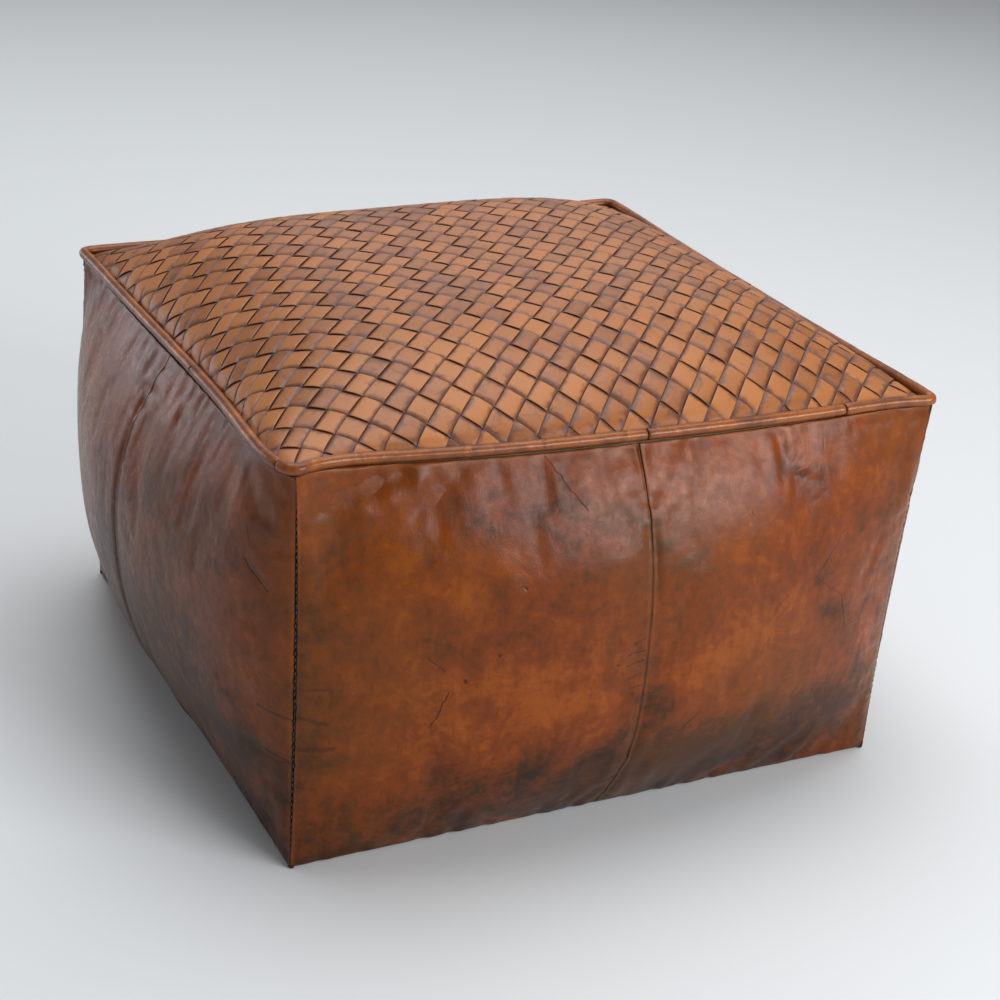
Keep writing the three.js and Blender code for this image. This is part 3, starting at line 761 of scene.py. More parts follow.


# Where the dye and painted shade lie: centre as (t, v), reach along and down the face in mm, and
# strength, above zero for dark patches and below zero for bright ones. Besides the leather's own
# mottled dye, the broad dark washes low on each face and the large dark patches low on the front
# half of the left face are painted shade, and each face is lighter just under its top seam.
DYE_AND_SHADE_STRENGTH = 0.62
DYE_AND_SHADE_WASHES = {
    "front": [
        ((0.32, 0.13), (50, 22), 0.55), ((0.46, 0.18), (14, 12), 0.6), ((0.53, 0.22), (12, 22), 0.75),
        ((0.60, 0.25), (20, 12), 0.45), ((0.72, 0.34), (22, 26), 0.6), ((0.78, 0.13), (24, 10), 0.9),
        ((0.85, 0.52), (20, 9), 0.7), ((0.81, 0.36), (30, 7), 0.5), ((0.90, 0.28), (20, 8), 0.6),
        ((0.96, 0.42), (12, 30), 0.6), ((0.02, 0.50), (20, 60), 0.8), ((0.03, 0.68), (30, 6), 0.8),
        ((0.05, 0.22), (25, 10), 0.6), ((0.22, 0.45), (30, 16), 0.3), ((0.30, 0.33), (60, 18), 0.3),
        ((0.42, 0.22), (30, 20), 0.4), ((0.50, 0.92), (240, 42), 1.15), ((0.66, 0.80), (110, 40), 0.9),
        ((0.53, 0.66), (26, 16), 0.6), ((0.28, 0.80), (36, 24), 0.6), ((0.70, 0.76), (9, 12), 0.7),
        ((0.84, 0.76), (60, 36), 0.8), ((0.10, 0.96), (60, 12), 0.7), ((0.48, 0.60), (14, 50), 0.35),
        ((0.15, 0.60), (60, 40), -0.4), ((0.35, 0.55), (60, 40), -0.3), ((0.66, 0.42), (30, 50), -0.45),
        ((0.92, 0.66), (30, 20), -0.25), ((0.20, 0.27), (50, 14), -0.4), ((0.62, 0.60), (50, 24), -0.3),
        ((0.62, 0.05), (100, 16), -0.35), ((0.10, 0.80), (30, 34), -0.3), ((0.90, 0.12), (50, 20), -0.2),
    ],
    "left": [
        ((0.72, 0.64), (110, 80), 1.1), ((0.88, 0.72), (50, 14), 0.8), ((0.72, 0.26), (40, 18), 0.5),
        ((0.90, 0.25), (40, 24), 0.5), ((0.50, 0.88), (260, 44), 1.1), ((0.60, 0.30), (30, 14), 0.4),
        ((0.45, 0.60), (80, 60), 0.8), ((0.92, 0.93), (40, 16), 0.8), ((0.20, 0.70), (90, 40), 0.4),
        ((0.92, 0.50), (36, 40), -0.35), ((0.30, 0.25), (90, 40), -0.3), ((0.86, 0.12), (30, 14), -0.4),
        ((0.96, 0.58), (14, 24), -0.4),
    ],
    "right": [
        ((0.20, 0.30), (40, 22), 0.6), ((0.50, 0.92), (230, 36), 0.8), ((0.72, 0.20), (50, 20), 0.5),
        ((0.85, 0.55), (24, 50), 0.6), ((0.34, 0.62), (50, 26), 0.6), ((0.56, 0.40), (16, 60), 0.4),
        ((0.04, 0.60), (20, 60), 0.7), ((0.30, 0.45), (60, 30), -0.4), ((0.66, 0.60), (50, 40), -0.45),
        ((0.62, 0.06), (90, 14), -0.3),
    ],
    "rear": [
        ((0.28, 0.22), (40, 20), 0.6), ((0.50, 0.92), (220, 36), 0.8), ((0.70, 0.32), (50, 20), 0.6),
        ((0.12, 0.55), (24, 50), 0.6), ((0.52, 0.60), (20, 60), 0.5), ((0.84, 0.72), (40, 22), 0.6),
        ((0.96, 0.40), (20, 60), 0.6), ((0.36, 0.50), (60, 34), -0.45), ((0.74, 0.55), (40, 30), -0.4),
        ((0.50, 0.06), (110, 14), -0.3),
    ],
}


def dye_and_shade(face, t, v):
    """How much dye and painted shade lie at places on a face: 0 is the middle tone, 1 nearly
    black-brown.
    """
    amount = np.zeros_like(t)
    sideways = 14 * MM * np.sin(23 * t + 3 * np.sin(19 * v))
    downwards = 11 * MM * np.sin(21 * v + 4 * np.sin(17 * t))
    for (t0, v0), (wide, high), strength in DYE_AND_SHADE_WASHES[face]:
        x = ((t - t0) * TOP_EDGE + sideways) / (wide * MM)
        y = ((v - v0) * SEAM_HEIGHT + downwards) / (high * MM)
        amount += strength * np.exp(-(x * x + y * y) / 1.4)
    return DYE_AND_SHADE_STRENGTH * amount


# Creases, scratches and spots in the leather: start and end as (t, v), width in mm and strength.
MARKS = {
    "front": [
        ((0.180, 0.615), (0.202, 0.53), 0.7, 0.8), ((0.172, 0.44), (0.196, 0.475), 0.8, 0.5),
        ((0.354, 0.02), (0.405, 0.135), 0.5, 0.6), ((0.225, 0.50), (0.226, 0.503), 1.6, 0.9),
        ((0.305, 0.285), (0.306, 0.287), 1.5, 0.9), ((0.27, 0.44), (0.271, 0.442), 1.4, 0.8),
        ((0.45, 0.50), (0.451, 0.502), 1.1, 0.8), ((0.84, 0.28), (0.79, 0.38), 0.8, 0.6),
        ((0.79, 0.38), (0.85, 0.45), 0.8, 0.4), ((0.85, 0.45), (0.87, 0.55), 0.8, 0.5),
        ((0.87, 0.55), (0.91, 0.54), 0.8, 0.35), ((0.91, 0.54), (0.94, 0.40), 0.8, 0.4),
        ((0.94, 0.40), (0.97, 0.30), 0.7, 0.5), ((0.76, 0.13), (0.79, 0.11), 3.5, 0.4),
        ((0.80, 0.12), (0.80, 0.17), 3.0, 0.4), ((0.79, 0.18), (0.78, 0.19), 2.6, 0.3),
        ((0.0, 0.53), (0.04, 0.525), 1.8, 0.4), ((0.0, 0.60), (0.04, 0.61), 2.0, 0.5),
        ((0.0, 0.68), (0.05, 0.672), 2.2, 0.5), ((0.0, 0.78), (0.03, 0.785), 1.4, 0.35),
        ((0.47, 0.46), (0.495, 0.445), 0.8, 0.6), ((0.465, 0.485), (0.495, 0.475), 0.8, 0.6),
        ((0.465, 0.51), (0.495, 0.50), 0.8, 0.6), ((0.47, 0.545), (0.495, 0.535), 0.8, 0.5),
        ((0.475, 0.575), (0.495, 0.57), 0.8, 0.5), ((0.58, 0.72), (0.60, 0.68), 1.2, 0.6),
    ],
    "left": [
        ((0.93, 0.24), (0.97, 0.30), 0.9, 0.7), ((0.70, 0.55), (0.74, 0.60), 1.0, 0.5),
        ((0.80, 0.33), (0.84, 0.38), 0.8, 0.5), ((0.60, 0.20), (0.63, 0.33), 0.8, 0.4),
        ((0.95, 0.60), (1.0, 0.61), 1.2, 0.6), ((0.96, 0.71), (1.0, 0.72), 1.2, 0.6),
    ],
    "right": [
        ((0.22, 0.40), (0.27, 0.55), 0.8, 0.6), ((0.62, 0.32), (0.64, 0.34), 1.2, 0.7),
        ((0.75, 0.62), (0.80, 0.54), 0.8, 0.6), ((0.0, 0.55), (0.04, 0.545), 1.3, 0.7),
        ((0.505, 0.48), (0.53, 0.475), 0.8, 0.6), ((0.505, 0.52), (0.525, 0.515), 0.8, 0.6),
    ],
    "rear": [
        ((0.30, 0.35), (0.36, 0.42), 0.8, 0.6), ((0.66, 0.55), (0.67, 0.56), 1.3, 0.8),
        ((0.80, 0.30), (0.84, 0.45), 0.8, 0.5), ((0.96, 0.62), (1.0, 0.63), 1.3, 0.7),
        ((0.47, 0.50), (0.495, 0.495), 0.8, 0.6), ((0.47, 0.54), (0.495, 0.535), 0.8, 0.6),
    ],
}


def marks(skin, face):
    """How strongly each place of a face is marked, from 0 to 1."""
    flat = skin.put("CombineXYZ", {"X": skin.measured("across"), "Y": skin.measured("down")})
    place = skin.wandering(8 * MM, (4 * MM, 4 * MM, 0), flat.outputs["Vector"], detail=3)
    total = 0.0
    for start, end, width, strength in MARKS[face]:
        a = Vector((start[0] * TOP_EDGE, start[1] * SEAM_HEIGHT, 0))
        line = Vector((end[0] * TOP_EDGE, end[1] * SEAM_HEIGHT, 0)) - a
        from_start = skin.vectors("SUBTRACT", place, a)
        ahead = line / line.length_squared
        dot = skin.put("VectorMath", {0: from_start, 1: ahead}, operation="DOT_PRODUCT")
        share = skin.put("Clamp", {"Value": dot.outputs["Value"]}).outputs["Result"]
        along = skin.put("VectorMath", {0: line, "Scale": share}, operation="SCALE")
        off = skin.put("VectorMath", {0: from_start, 1: along.outputs["Vector"]}, operation="DISTANCE")
        away = off.outputs["Value"]
        mark = skin.span(away, 0.2 * width * MM, 1.4 * width * MM, strength, 0.0)
        total = skin.maths("MAXIMUM", mark, total)
    return total


def side_leather(face):
    """Polished goatskin: washes of dark dye and painted shade over cognac, fine grain, pores, creases
    and scuffs, with painted shade in the seam grooves and a painted highlight on the turned edges.
    """
    skin = Finish(f"{face}_goatskin", IOR=1.33)
    # the dye washes, with painted shade low on the faces
    dye_and_shade_amount = skin.measured("dye_and_shade")
    wear_and_highlight = skin.measured("wear_and_highlight")
    lying = skin.stretched(1, 1, 1.35)
    clouds = skin.noise(80 * MM, detail=7, roughness=0.62, distortion=0.8, place=lying)
    smears = skin.noise(34 * MM, detail=7, roughness=0.66, distortion=1.6)
    fine = skin.noise(6 * MM, detail=5, roughness=0.7)
    flecks = skin.noise(2.2 * MM, detail=2, roughness=0.6)
    veins = skin.cells(55 * MM, "DISTANCE_TO_EDGE", place=skin.wandering(40 * MM, (22 * MM,) * 3))
    scratches = skin.noise(9 * MM, detail=3, place=skin.stretched(1.0, 1.0, 0.09, (0.3, 0.5, 0.2)))
    depth = skin.maths("ADD", dye_and_shade_amount, skin.span(clouds, 0.2, 0.8, -0.3, 0.3))
    depth = skin.maths("ADD", depth, skin.span(smears, 0.25, 0.75, -0.28, 0.30))
    depth = skin.maths("ADD", depth, skin.span(fine, 0.25, 0.75, -0.24, 0.26))
    slanting = skin.stretched(1, 1, 0.3, (0, math.radians(-38), 0))
    strokes = skin.noise(13 * MM, detail=5, roughness=0.7, place=slanting)
    depth = skin.maths("ADD", depth, skin.span(strokes, 0.3, 0.75, -0.16, 0.26))
    colour = skin.mix(skin.span(depth, -0.6, 0.15), (0.285, 0.060, 0.0018), (0.175, 0.0315, 0.0009))
    colour = skin.mix(skin.span(depth, 0.0, 0.8), colour, (0.080, 0.020, 0.0016))
    colour = skin.mix(skin.span(depth, 0.5, 1.25), colour, (0.031, 0.0110, 0.0035))
    hue = skin.noise(150 * MM, detail=2)
    colour = skin.mix(skin.span(hue, 0.4, 0.7, 0.0, 0.28), colour, (0.185, 0.055, 0.002))
    vein = skin.maths("MULTIPLY", skin.span(veins, 0.0, 0.035, 1.0, 0.0), skin.span(smears, 0.55, 0.7))
    colour = skin.mix(skin.maths("MULTIPLY", vein, 0.3), colour, (0.05, 0.018, 0.008))
    speck = skin.span(flecks, 0.73, 0.79, 0.0, 0.7)
    colour = skin.mix(speck, colour, (0.035, 0.014, 0.008))
    scratch = skin.span(scratches, 0.72, 0.76, 0.0, 0.5)
    colour = skin.mix(scratch, colour, (0.06, 0.02, 0.008))
    # a lighter band along the turned edges: partly rubbed wear, partly a painted highlight on their
    # crests
    colour = skin.mix(skin.maths("MULTIPLY", wear_and_highlight, 0.22), colour, (0.36, 0.12, 0.02))
    marked = marks(skin, face)
    colour = skin.mix(marked, colour, (0.035, 0.010, 0.004))
    # painted shade in the seam grooves and along the base edge
    seam = skin.measured("seam")
    colour = skin.mix(skin.maths("MULTIPLY", seam, 0.8), colour, (0.035, 0.011, 0.004))
    grain = skin.cells(1.2 * MM, "DISTANCE_TO_EDGE")
    pores = skin.noise(0.9 * MM, detail=3, roughness=0.7)
    relief = skin.bump(skin.noise(30 * MM, detail=3, roughness=0.5), 1.2 * MM)
    relief = skin.bump(smears, 0.35 * MM, relief)
    relief = skin.bump(skin.span(grain, 0.0, 0.25), 0.035 * MM, relief)
    relief = skin.bump(pores, 0.06 * MM, relief)
    relief = skin.bump(vein, -0.15 * MM, relief)
    relief = skin.bump(scratch, -0.2 * MM, relief)
    relief = skin.bump(marked, -0.35 * MM, relief)
    dulled = skin.maths("ADD", depth, skin.span(fine, 0.3, 0.7, -0.4, 0.4))
    gloss = skin.span(dulled, -0.6, 1.0, 0.27, 0.38)
    skin.set(skin.surface, {"Base Color": colour, "Roughness": gloss, "Normal": relief})
    return skin.material


def store(piece, name, values):
    """Keeps a number for each point of a mesh."""
    layer = piece.data.attributes.new(name, "FLOAT", "POINT")
    layer.data.foreach_set("value", np.asarray(values, np.float32).ravel())


def side_panel(face, number, goatskin):
    """One half of a face, as a closed skin with turned edges."""
    along = crowded(TOP_EDGE / 2, PANEL_CELL) / TOP_EDGE + (number - 1) / 2
    down = SIDE_TOP + crowded(SEAM_HEIGHT * (1 - SIDE_TOP), PANEL_CELL) / SEAM_HEIGHT
    t, v = np.meshgrid(along, np.minimum(down, 1))
    drawn = side_point(face, t, v)
    normal = grid_normals(drawn)
    points = drawn + sampled(side_moves[face], t, v)
    from_start = lengths_along(drawn, 1)
    from_top = lengths_along(drawn, 0)
    to_end = from_start[:, -1:] - from_start
    to_base = from_top[-1:] - from_top
    corner = from_start if number == 1 else to_end
    middle = to_end if number == 1 else from_start
    seed = 100 * list(FACES).index(face) + 10 * number
    valley, reach = SEAM_VALLEY
    relief = folds(face, t, v)
    for edge in (corner, middle):
        relief -= valley * np.exp(-(edge / reach) ** 2)
    relief += puckers(from_top, corner, seed + 1, depth=1.3 * MM, reach=15 * MM)
    relief += puckers(from_top, middle, seed + 2, depth=1.0 * MM, reach=12 * MM)
    wide = {"depth": 1.5 * MM, "reach": 24 * MM, "gap": 27 * MM, "breadth": 1.9}
    relief += puckers(from_start, from_top, seed + 3, **wide)
    wide = {"depth": 1.5 * MM, "reach": 30 * MM, "gap": 25 * MM, "breadth": 1.6}
    relief += puckers(from_start, to_base, seed + 4, **wide)
    nearest = np.minimum(np.minimum(corner, middle), np.minimum(from_top, to_base))
    relief *= np.clip(nearest / (2 * MM), 0.3, 1)
    deepest = np.maximum(np.maximum(turned_in(corner), turned_in(middle)), turned_in(from_top))
    base_turn = turned_in(to_base, BASE_TURN)
    deepest = np.maximum(deepest, base_turn)
    points = points + normal * (relief - deepest)[..., None]
    points[..., 2] = np.maximum(points[..., 2], 0.3 * MM)
    inside = drawn - normal * (LEATHER + base_turn * 0.6)[..., None]
    inside[..., 2] = np.maximum(inside[..., 2], 1.0 * MM)
    piece = skin_piece(f"{face}_leather_{number}", points, inside, flipped=True)
    # the dye washes, with painted shade low on the faces, and the dye gathered along the seams
    amount = dye_and_shade(face, t, v)
    for edge, (strength, width) in ((corner, CORNER_DYE), (middle, MIDDLE_DYE)):
        amount += strength * np.exp(-edge / width)
    # seam: painted shade in the grooves of the corner and middle seams, and along the base edge
    seam = np.exp(-(np.minimum(corner, middle) / (0.7 * MM)) ** 2)
    seam = np.maximum(seam, 0.6 * np.exp(-(to_base / (2.2 * MM)) ** 2))
    # partly rubbed wear, partly a painted highlight on the crests of the turned edges
    wear_and_highlight = np.exp(-((from_top - 2.2 * MM) / (1.3 * MM)) ** 2)
    wear_and_highlight += 0.7 * np.exp(-((np.minimum(middle, corner) - 2.4 * MM) / (1.0 * MM)) ** 2)
    named = {"dye_and_shade": amount, "seam": seam, "wear_and_highlight": wear_and_highlight}
    named |= {"across": t * TOP_EDGE, "down": v * SEAM_HEIGHT}
    for name, values in named.items():
        store(piece, name, np.concatenate([values.ravel(), values.ravel()]))
    finish_piece(piece, goatskin, "side_leather", f"{face}_panel_{number}")


for face in FACES:
    goatskin = side_leather(face)
    side_panel(face, 1, goatskin)
    side_panel(face, 2, goatskin)


# ---- Seam tapes ----
# A strip of cotton tape is stuck behind the middle seam of each face, so that the stuffing
# can't force the two panels apart.

TAPE_HALF_WIDTH = 9 * MM
TAPE_DEPTH = LEATHER + 4 * GAP

for face in FACES:
    beside = TAPE_HALF_WIDTH / TOP_EDGE
    t, v = np.meshgrid(np.linspace(0.5 - beside, 0.5 + beside, 9), np.linspace(0.02, 0.98, 60))
    tape = side_point(face, t, v, side=TAPE_DEPTH)
    tape += outward(face) * (0.15 * MM * np.sin(90 * v) * np.sin(3 * t / beside))[..., None]
    inside = tape - outward(face) * CANVAS
    piece = skin_piece(f"{face}_tape", tape, inside, flipped=True)
    finish_piece(piece, unbleached, "cotton_canvas", f"{face}_seam_tape")


# ---- Corner stitching ----
# The four corner seams are closed by hand with waxed linen thread. Its short stitches lie in
# the groove between the two panels' turned edges.

STITCH_LENGTH = 3.6 * MM
STITCH_PITCH = 5.2 * MM
THREAD_RADIUS = 0.5 * MM
STITCH_RISE = 0.6 * MM
STITCH_SINK = 2.6           # how far its ends lie inside the corner, in rises


def thread_finish():
    """Waxed linen, nearly black, with its twist raised."""
    thread = Finish("waxed_linen", Roughness=0.6)
    wave = thread.put("TexWave", {"Vector": thread.place, "Scale": 420, "Distortion": 1})
    twist = wave.outputs["Fac"]
    colour = thread.mix(twist, (0.022, 0.010, 0.006), (0.070, 0.032, 0.018))
    thread.set(thread.surface, {"Base Color": colour, "Normal": thread.bump(twist, 0.1 * MM)})
    return thread.material


def closed_rings(rows, count, inside_out=False):
    """Faces round rings of points, with one more face across each end."""
    faces = ring_faces(rows, count)
    faces.append(tuple(range(count))[::-1])
    faces.append(tuple(range((rows - 1) * count, rows * count)))
    return [face[::-1] for face in faces] if inside_out else faces


def tube(points, radii, sides, sideways):
    """Rings round a line of points, with the faces that join and close them."""
    ahead = np.gradient(points, axis=0)
    ahead /= np.linalg.norm(ahead, axis=1, keepdims=True)
    across = np.cross(ahead, sideways)
    across /= np.linalg.norm(across, axis=1, keepdims=True)
    above = np.cross(across, ahead)
    turns = 2 * np.pi * np.arange(sides) / sides
    ring = across[:, None] * np.cos(turns)[:, None] + above[:, None] * np.sin(turns)[:, None]
    rings = points[:, None] + ring * np.asarray(radii)[:, None, None]
    return rings.reshape(-1, 3), closed_rings(len(points), sides)


def joined(parts):
    """Points and faces of several shapes as one."""
    points, faces, count = [], [], 0
    for part_points, part_faces in parts:
        points.append(part_points)
        faces += [tuple(int(i) + count for i in face) for face in part_faces]
        count += len(part_points)
    return np.concatenate(points), faces


linen = thread_finish()
random = np.random.default_rng(7)
for number, face in enumerate(FACES):
    corner = CORNERS[FACES[face]["start"]]
    out = np.array([*CORNER_SIGNS[FACES[face]["start"]], 0.0]) / math.sqrt(2)
    stitches = []
    for height in np.arange(0.03, 0.97, STITCH_PITCH / SEAM_HEIGHT):
        share = height + random.uniform(-0.1, 0.1) * STITCH_PITCH / SEAM_HEIGHT
        spots = share + np.linspace(0, STITCH_LENGTH / SEAM_HEIGHT, 6)
        line = side_point(face, np.zeros(6), spots)
        arch = np.sin(np.pi * np.linspace(0, 1, 6))
        line += out * ((arch - STITCH_SINK) * STITCH_RISE)[:, None]
        line += np.cross(out, (0, 0, 1)) * random.uniform(-0.25, 0.25) * MM
        stitches.append(tube(line, THREAD_RADIUS * (0.55 + 0.45 * arch), 6, out))
    piece = mesh_piece(f"{corner}_stitches", *joined(stitches))
    finish_piece(piece, linen, "seam_thread", f"{corner}_seam_thread")


# ---- Woven top ----
# Flat strips of the same goatskin, each under 2 mm thick, are laced over one and under one at
# 45 degrees to the edges. The strips that rise to the right are narrower than those that
# cross them. Their ends are caught in the seam under the piping.

STRIP_THICKNESS = 1.6 * MM
STRIP_WAVE = 0.85 * MM          # how far a strip rises and dips about the middle of the weave
WEAVE_DEPTH = 2.0 * MM          # the middle of the weave below the top's outside
STRIP_GAP = 0.01                # between neighbours, as a share of a strip's width
WEAVE_END = 3.0 * MM            # strips end this far inside the piped seam
WEAVE_BUNDLES = 6               # objects that hold the strips of one direction
SHORTEST_STRIP = 0.2            # in crossings
END_ROOM = 0.08                 # between a strip's end and its first row, in crossings
END_DROP = 1.9 * MM             # how much lower the strips lie at the seam
SETTLING = 9 * MM               # from the seam to where they lie at their full height
# A strip's number is a + b * across + c * along + d * across * along + e * along * along.
RISING = (-4.0, 12.2, -11.3, 0.7, 0.3)
FALLING = (10.9, 7.6, 7.2, -1.2, -0.4)
# A strip's outline, over its face and back below: the place on its half width, how far its face
# drops there in mm, and how dark it is painted there: its cut edges partly darker leather and
# partly painted shade, and its back painted shade.
STRIP_OUTLINE = np.array([-1, -0.965, -0.88, -0.5, 0, 0.5, 0.88, 0.965, 1, 1, 0, -1])
STRIP_EASING = np.array([0.34, 0.08, 0, 0, 0, 0, 0, 0.08, 0.34])
STRIP_EDGE_DYE_AND_SHADE = np.array([1, 0.45, 0.05, 0, 0, 0, 0.05, 0.45, 1, 1, 1, 1])
STRIP_ROWS = ((0, 0.06, 0.13, 0.25, 0.5, 0.75, 0.87, 0.94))


def weave_numbers(across, along):
    """Strip numbers at a place on the top, from -1 to 1 each way: rising first, then falling."""
    return [
        a + b * across + c * along + d * across * along + e * along ** 2
        for a, b, c, d, e in (RISING, FALLING)
    ]


def weave_place(rising, falling):
    """The place on the top, from -1 to 1 each way, where two strips cross."""
    rising, falling = np.broadcast_arrays(np.asarray(rising, float), np.asarray(falling, float))
    across, along = np.zeros_like(rising), np.zeros_like(rising)
    for _ in range(13):
        have_rising, have_falling = weave_numbers(across, along)
        off_rising, off_falling = rising - have_rising, falling - have_falling
        across = across + (off_rising / RISING[1] + off_falling / FALLING[1]) / 2
        along = along + (off_rising / RISING[2] + off_falling / FALLING[2]) / 2
    return across, along


def lane_place(kind, along, across):
    if kind == "rising":
        return weave_place(across, along)
    return weave_place(along, across)


def lane_ends(kind, across):
    """Where a line along a strip enters and leaves the top."""
    limit = 1 - 2 * WEAVE_END / TOP_EDGE
    along = np.arange(-34, 34, 0.05) + (FALLING if kind == "rising" else RISING)[0]
    a, b = lane_place(kind, along, np.full_like(along, across))
    inside = np.flatnonzero(np.maximum(np.abs(a), np.abs(b)) < limit)
    if len(inside) < 2:
        return 0.0, 0.0
    return along[inside[0]], along[inside[-1]]


def wave(along, lane, kind):
    """Height of a strip along its length, 1 over its neighbours and -1 under them."""
    cell = np.floor(along)
    over = (cell + lane) % 2 == (0 if kind == "rising" else 1)
    sharp = 4.5 if kind == "rising" else 3.4
    bend = np.sin(np.pi * (along - cell))
    up = np.tanh(sharp * (bend - 0.16)) / math.tanh(sharp * 0.84)
    down = -np.tanh(sharp * (bend + 0.16)) / math.tanh(sharp * 1.16)
    return np.where(over, up, down)


def woven_strip(kind, lane):
    """One strip: its points, faces and the marks that its leather takes its tones from."""
    random = np.random.default_rng((1000 if kind == "rising" else 5000) + lane)
    half = 0.5 - STRIP_GAP
    tries = np.linspace(-half, half, 33)
    spans = np.array([np.subtract(*lane_ends(kind, lane + 0.5 + a)[::-1]) for a in tries])
    good = tries[spans > SHORTEST_STRIP]
    if len(good) < 5:
        return None
    low, high = good[0], good[-1]
    crown = 0.10 * MM * (1 - STRIP_OUTLINE[:9] ** 2) - STRIP_EASING * MM
    below = -STRIP_THICKNESS * np.array([0.3, 0.5, 0.3])
    rise = np.concatenate([crown + STRIP_THICKNESS / 2, below])
    across = (low + high) / 2 + STRIP_OUTLINE * (high - low) / 2
    ends = np.array([lane_ends(kind, lane + 0.5 + a) for a in across])
    cells = np.arange(math.floor(ends[:, 0].min()), math.ceil(ends[:, 1].max()) + 1)
    inner = np.concatenate([cell + np.array(STRIP_ROWS) for cell in cells])
    inner = inner[(inner > ends[:, 0].max() + END_ROOM) & (inner < ends[:, 1].min() - END_ROOM)]
    if len(inner) < 2:
        share = np.linspace(0, 1, 7)[:, None]
        along = ends[:, 0] * (1 - share) + ends[:, 1] * share
    else:
        share = np.linspace(0, 1, 7)[:-1, None]
        first = ends[:, 0] * (1 - share) + inner[0] * share
        last = inner[-1] * share[::-1] + ends[:, 1] * (1 - share[::-1])
        along = np.concatenate([first, np.repeat(inner[:, None], len(across), 1), last])
    knots = cells + 0.5
    sway = np.interp(along, knots, random.uniform(-0.02, 0.02, len(knots)))
    lift = np.interp(along, knots, random.uniform(-0.12, 0.12, len(knots))) * MM
    tilt = np.interp(along, knots, random.uniform(-0.22, 0.22, len(knots))) * MM
    tones = random.uniform(0, 1, len(knots))
    tone = tones[np.clip(np.floor(along).astype(int) - cells[0], 0, len(tones) - 1)]
    a, b = lane_place(kind, along, lane + 0.5 + across + sway)
    s, t = (a + 1) / 2, (b + 1) / 2
    surface = top_point(s, t)
    step = 1e-3
    rightwards = top_point(s + step, t) - top_point(s - step, t)
    backwards = top_point(s, t + step) - top_point(s, t - step)
    normal = np.cross(rightwards, backwards)
    normal /= np.linalg.norm(normal, axis=2, keepdims=True)
    from_seam = (1 - np.maximum(np.abs(a), np.abs(b))) * TOP_EDGE / 2
    settle = np.clip((from_seam - WEAVE_END) / SETTLING, 0, 1)
    settle = settle * settle * (3 - 2 * settle)
    level = wave(along, lane, kind)
    height = level * STRIP_WAVE * (0.45 + 0.55 * settle) - END_DROP * (1 - settle)
    height = height + lift + tilt * across / half + rise - WEAVE_DEPTH
    points = surface + normal * height[..., None]
    faces = closed_rings(*along.shape, inside_out=kind == "falling")
    near_end = np.minimum(np.abs(along - np.floor(along)), np.abs(np.ceil(along) - along))
    marks = {
        "tone": tone,
        "edge": np.broadcast_to(STRIP_EDGE_DYE_AND_SHADE, along.shape),
        "dip": (1 - level) / 2,
        "near_end": np.clip(1 - near_end / 0.3, 0, 1),
    }
    return points.reshape(-1, 3), faces, marks


def woven_leather():
    """Tan strips with painted shade in their dips and on their backs, dark cut edges, and each crossing
    a tone of its own.
    """
    strip = Finish("woven_goatskin", IOR=1.43)
    tone = strip.measured("tone")
    edge = strip.measured("edge")
    dip = strip.measured("dip")
    near_end = strip.measured("near_end")
    clouds = strip.noise(60 * MM, detail=4, roughness=0.6)
    smears = strip.noise(11 * MM, detail=5, roughness=0.65, distortion=1.2)
    fine = strip.noise(2.4 * MM, detail=4, roughness=0.7)
    uneven = strip.maths("MULTIPLY", clouds, 0.5)
    value = strip.maths("ADD", strip.maths("MULTIPLY", tone, 0.55), uneven)
    value = strip.maths("ADD", value, strip.maths("MULTIPLY", fine, 0.35))
    colour = strip.mix(strip.span(value, 0.3, 1.1), (0.30, 0.094, 0.020), (0.46, 0.160, 0.040))
    # darker blotches towards the ends of each crossing
    end_darkening = strip.maths("ADD", strip.maths("MULTIPLY", near_end, 0.42), smears)
    end_darkening = strip.maths("SUBTRACT", end_darkening, strip.maths("MULTIPLY", tone, 0.18))
    colour = strip.mix(strip.span(end_darkening, 0.46, 0.80, 0.0, 0.85), colour, (0.120, 0.043, 0.027))
    # painted shade where each strip dips under the strips that cross it
    colour = strip.mix(strip.span(dip, 0.15, 0.75, 0.0, 0.8), colour, (0.115, 0.047, 0.030))
    # dark cut edges, partly darker leather and partly painted shade, and painted shade on each strip's
    # back
    colour = strip.mix(strip.span(edge, 0.3, 1.0, 0.0, 0.9), colour, (0.055, 0.018, 0.008))
    grain = strip.cells(1.1 * MM, "DISTANCE_TO_EDGE")
    relief = strip.bump(smears, 0.35 * MM)
    relief = strip.bump(strip.span(grain, 0.0, 0.25), 0.04 * MM, relief)
    relief = strip.bump(fine, 0.08 * MM, relief)
    dulled = strip.maths("ADD", fine, strip.maths("MULTIPLY", tone, 0.5))
    gloss = strip.span(dulled, 0.2, 1.2, 0.30, 0.44)
    strip.set(strip.surface, {"Base Color": colour, "Roughness": gloss, "Normal": relief})
    return strip.material


plaited = woven_leather()
for kind in ("rising", "falling"):
    corners = [weave_numbers(a, b)[0 if kind == "rising" else 1] for a in (-1, 1) for b in (-1, 1)]
    lanes = range(math.floor(min(corners)), math.ceil(max(corners)) + 1)
    strips = [made for made in (woven_strip(kind, lane) for lane in lanes) if made]
    for bundle in range(WEAVE_BUNDLES):
        share = strips[bundle::WEAVE_BUNDLES]
        piece = mesh_piece(f"{kind}_strips_{bundle + 1}", *joined([made[:2] for made in share]))
        for name in share[0][2]:
            store(piece, name, np.concatenate([made[2][name].ravel() for made in share]))
        finish_piece(piece, plaited, "woven_leather", "woven_top")


# ---- Canvas backing ----
# The weave is laid on a square of canvas and sewn to it round the edge, so that it keeps its
# shape over the stuffing.

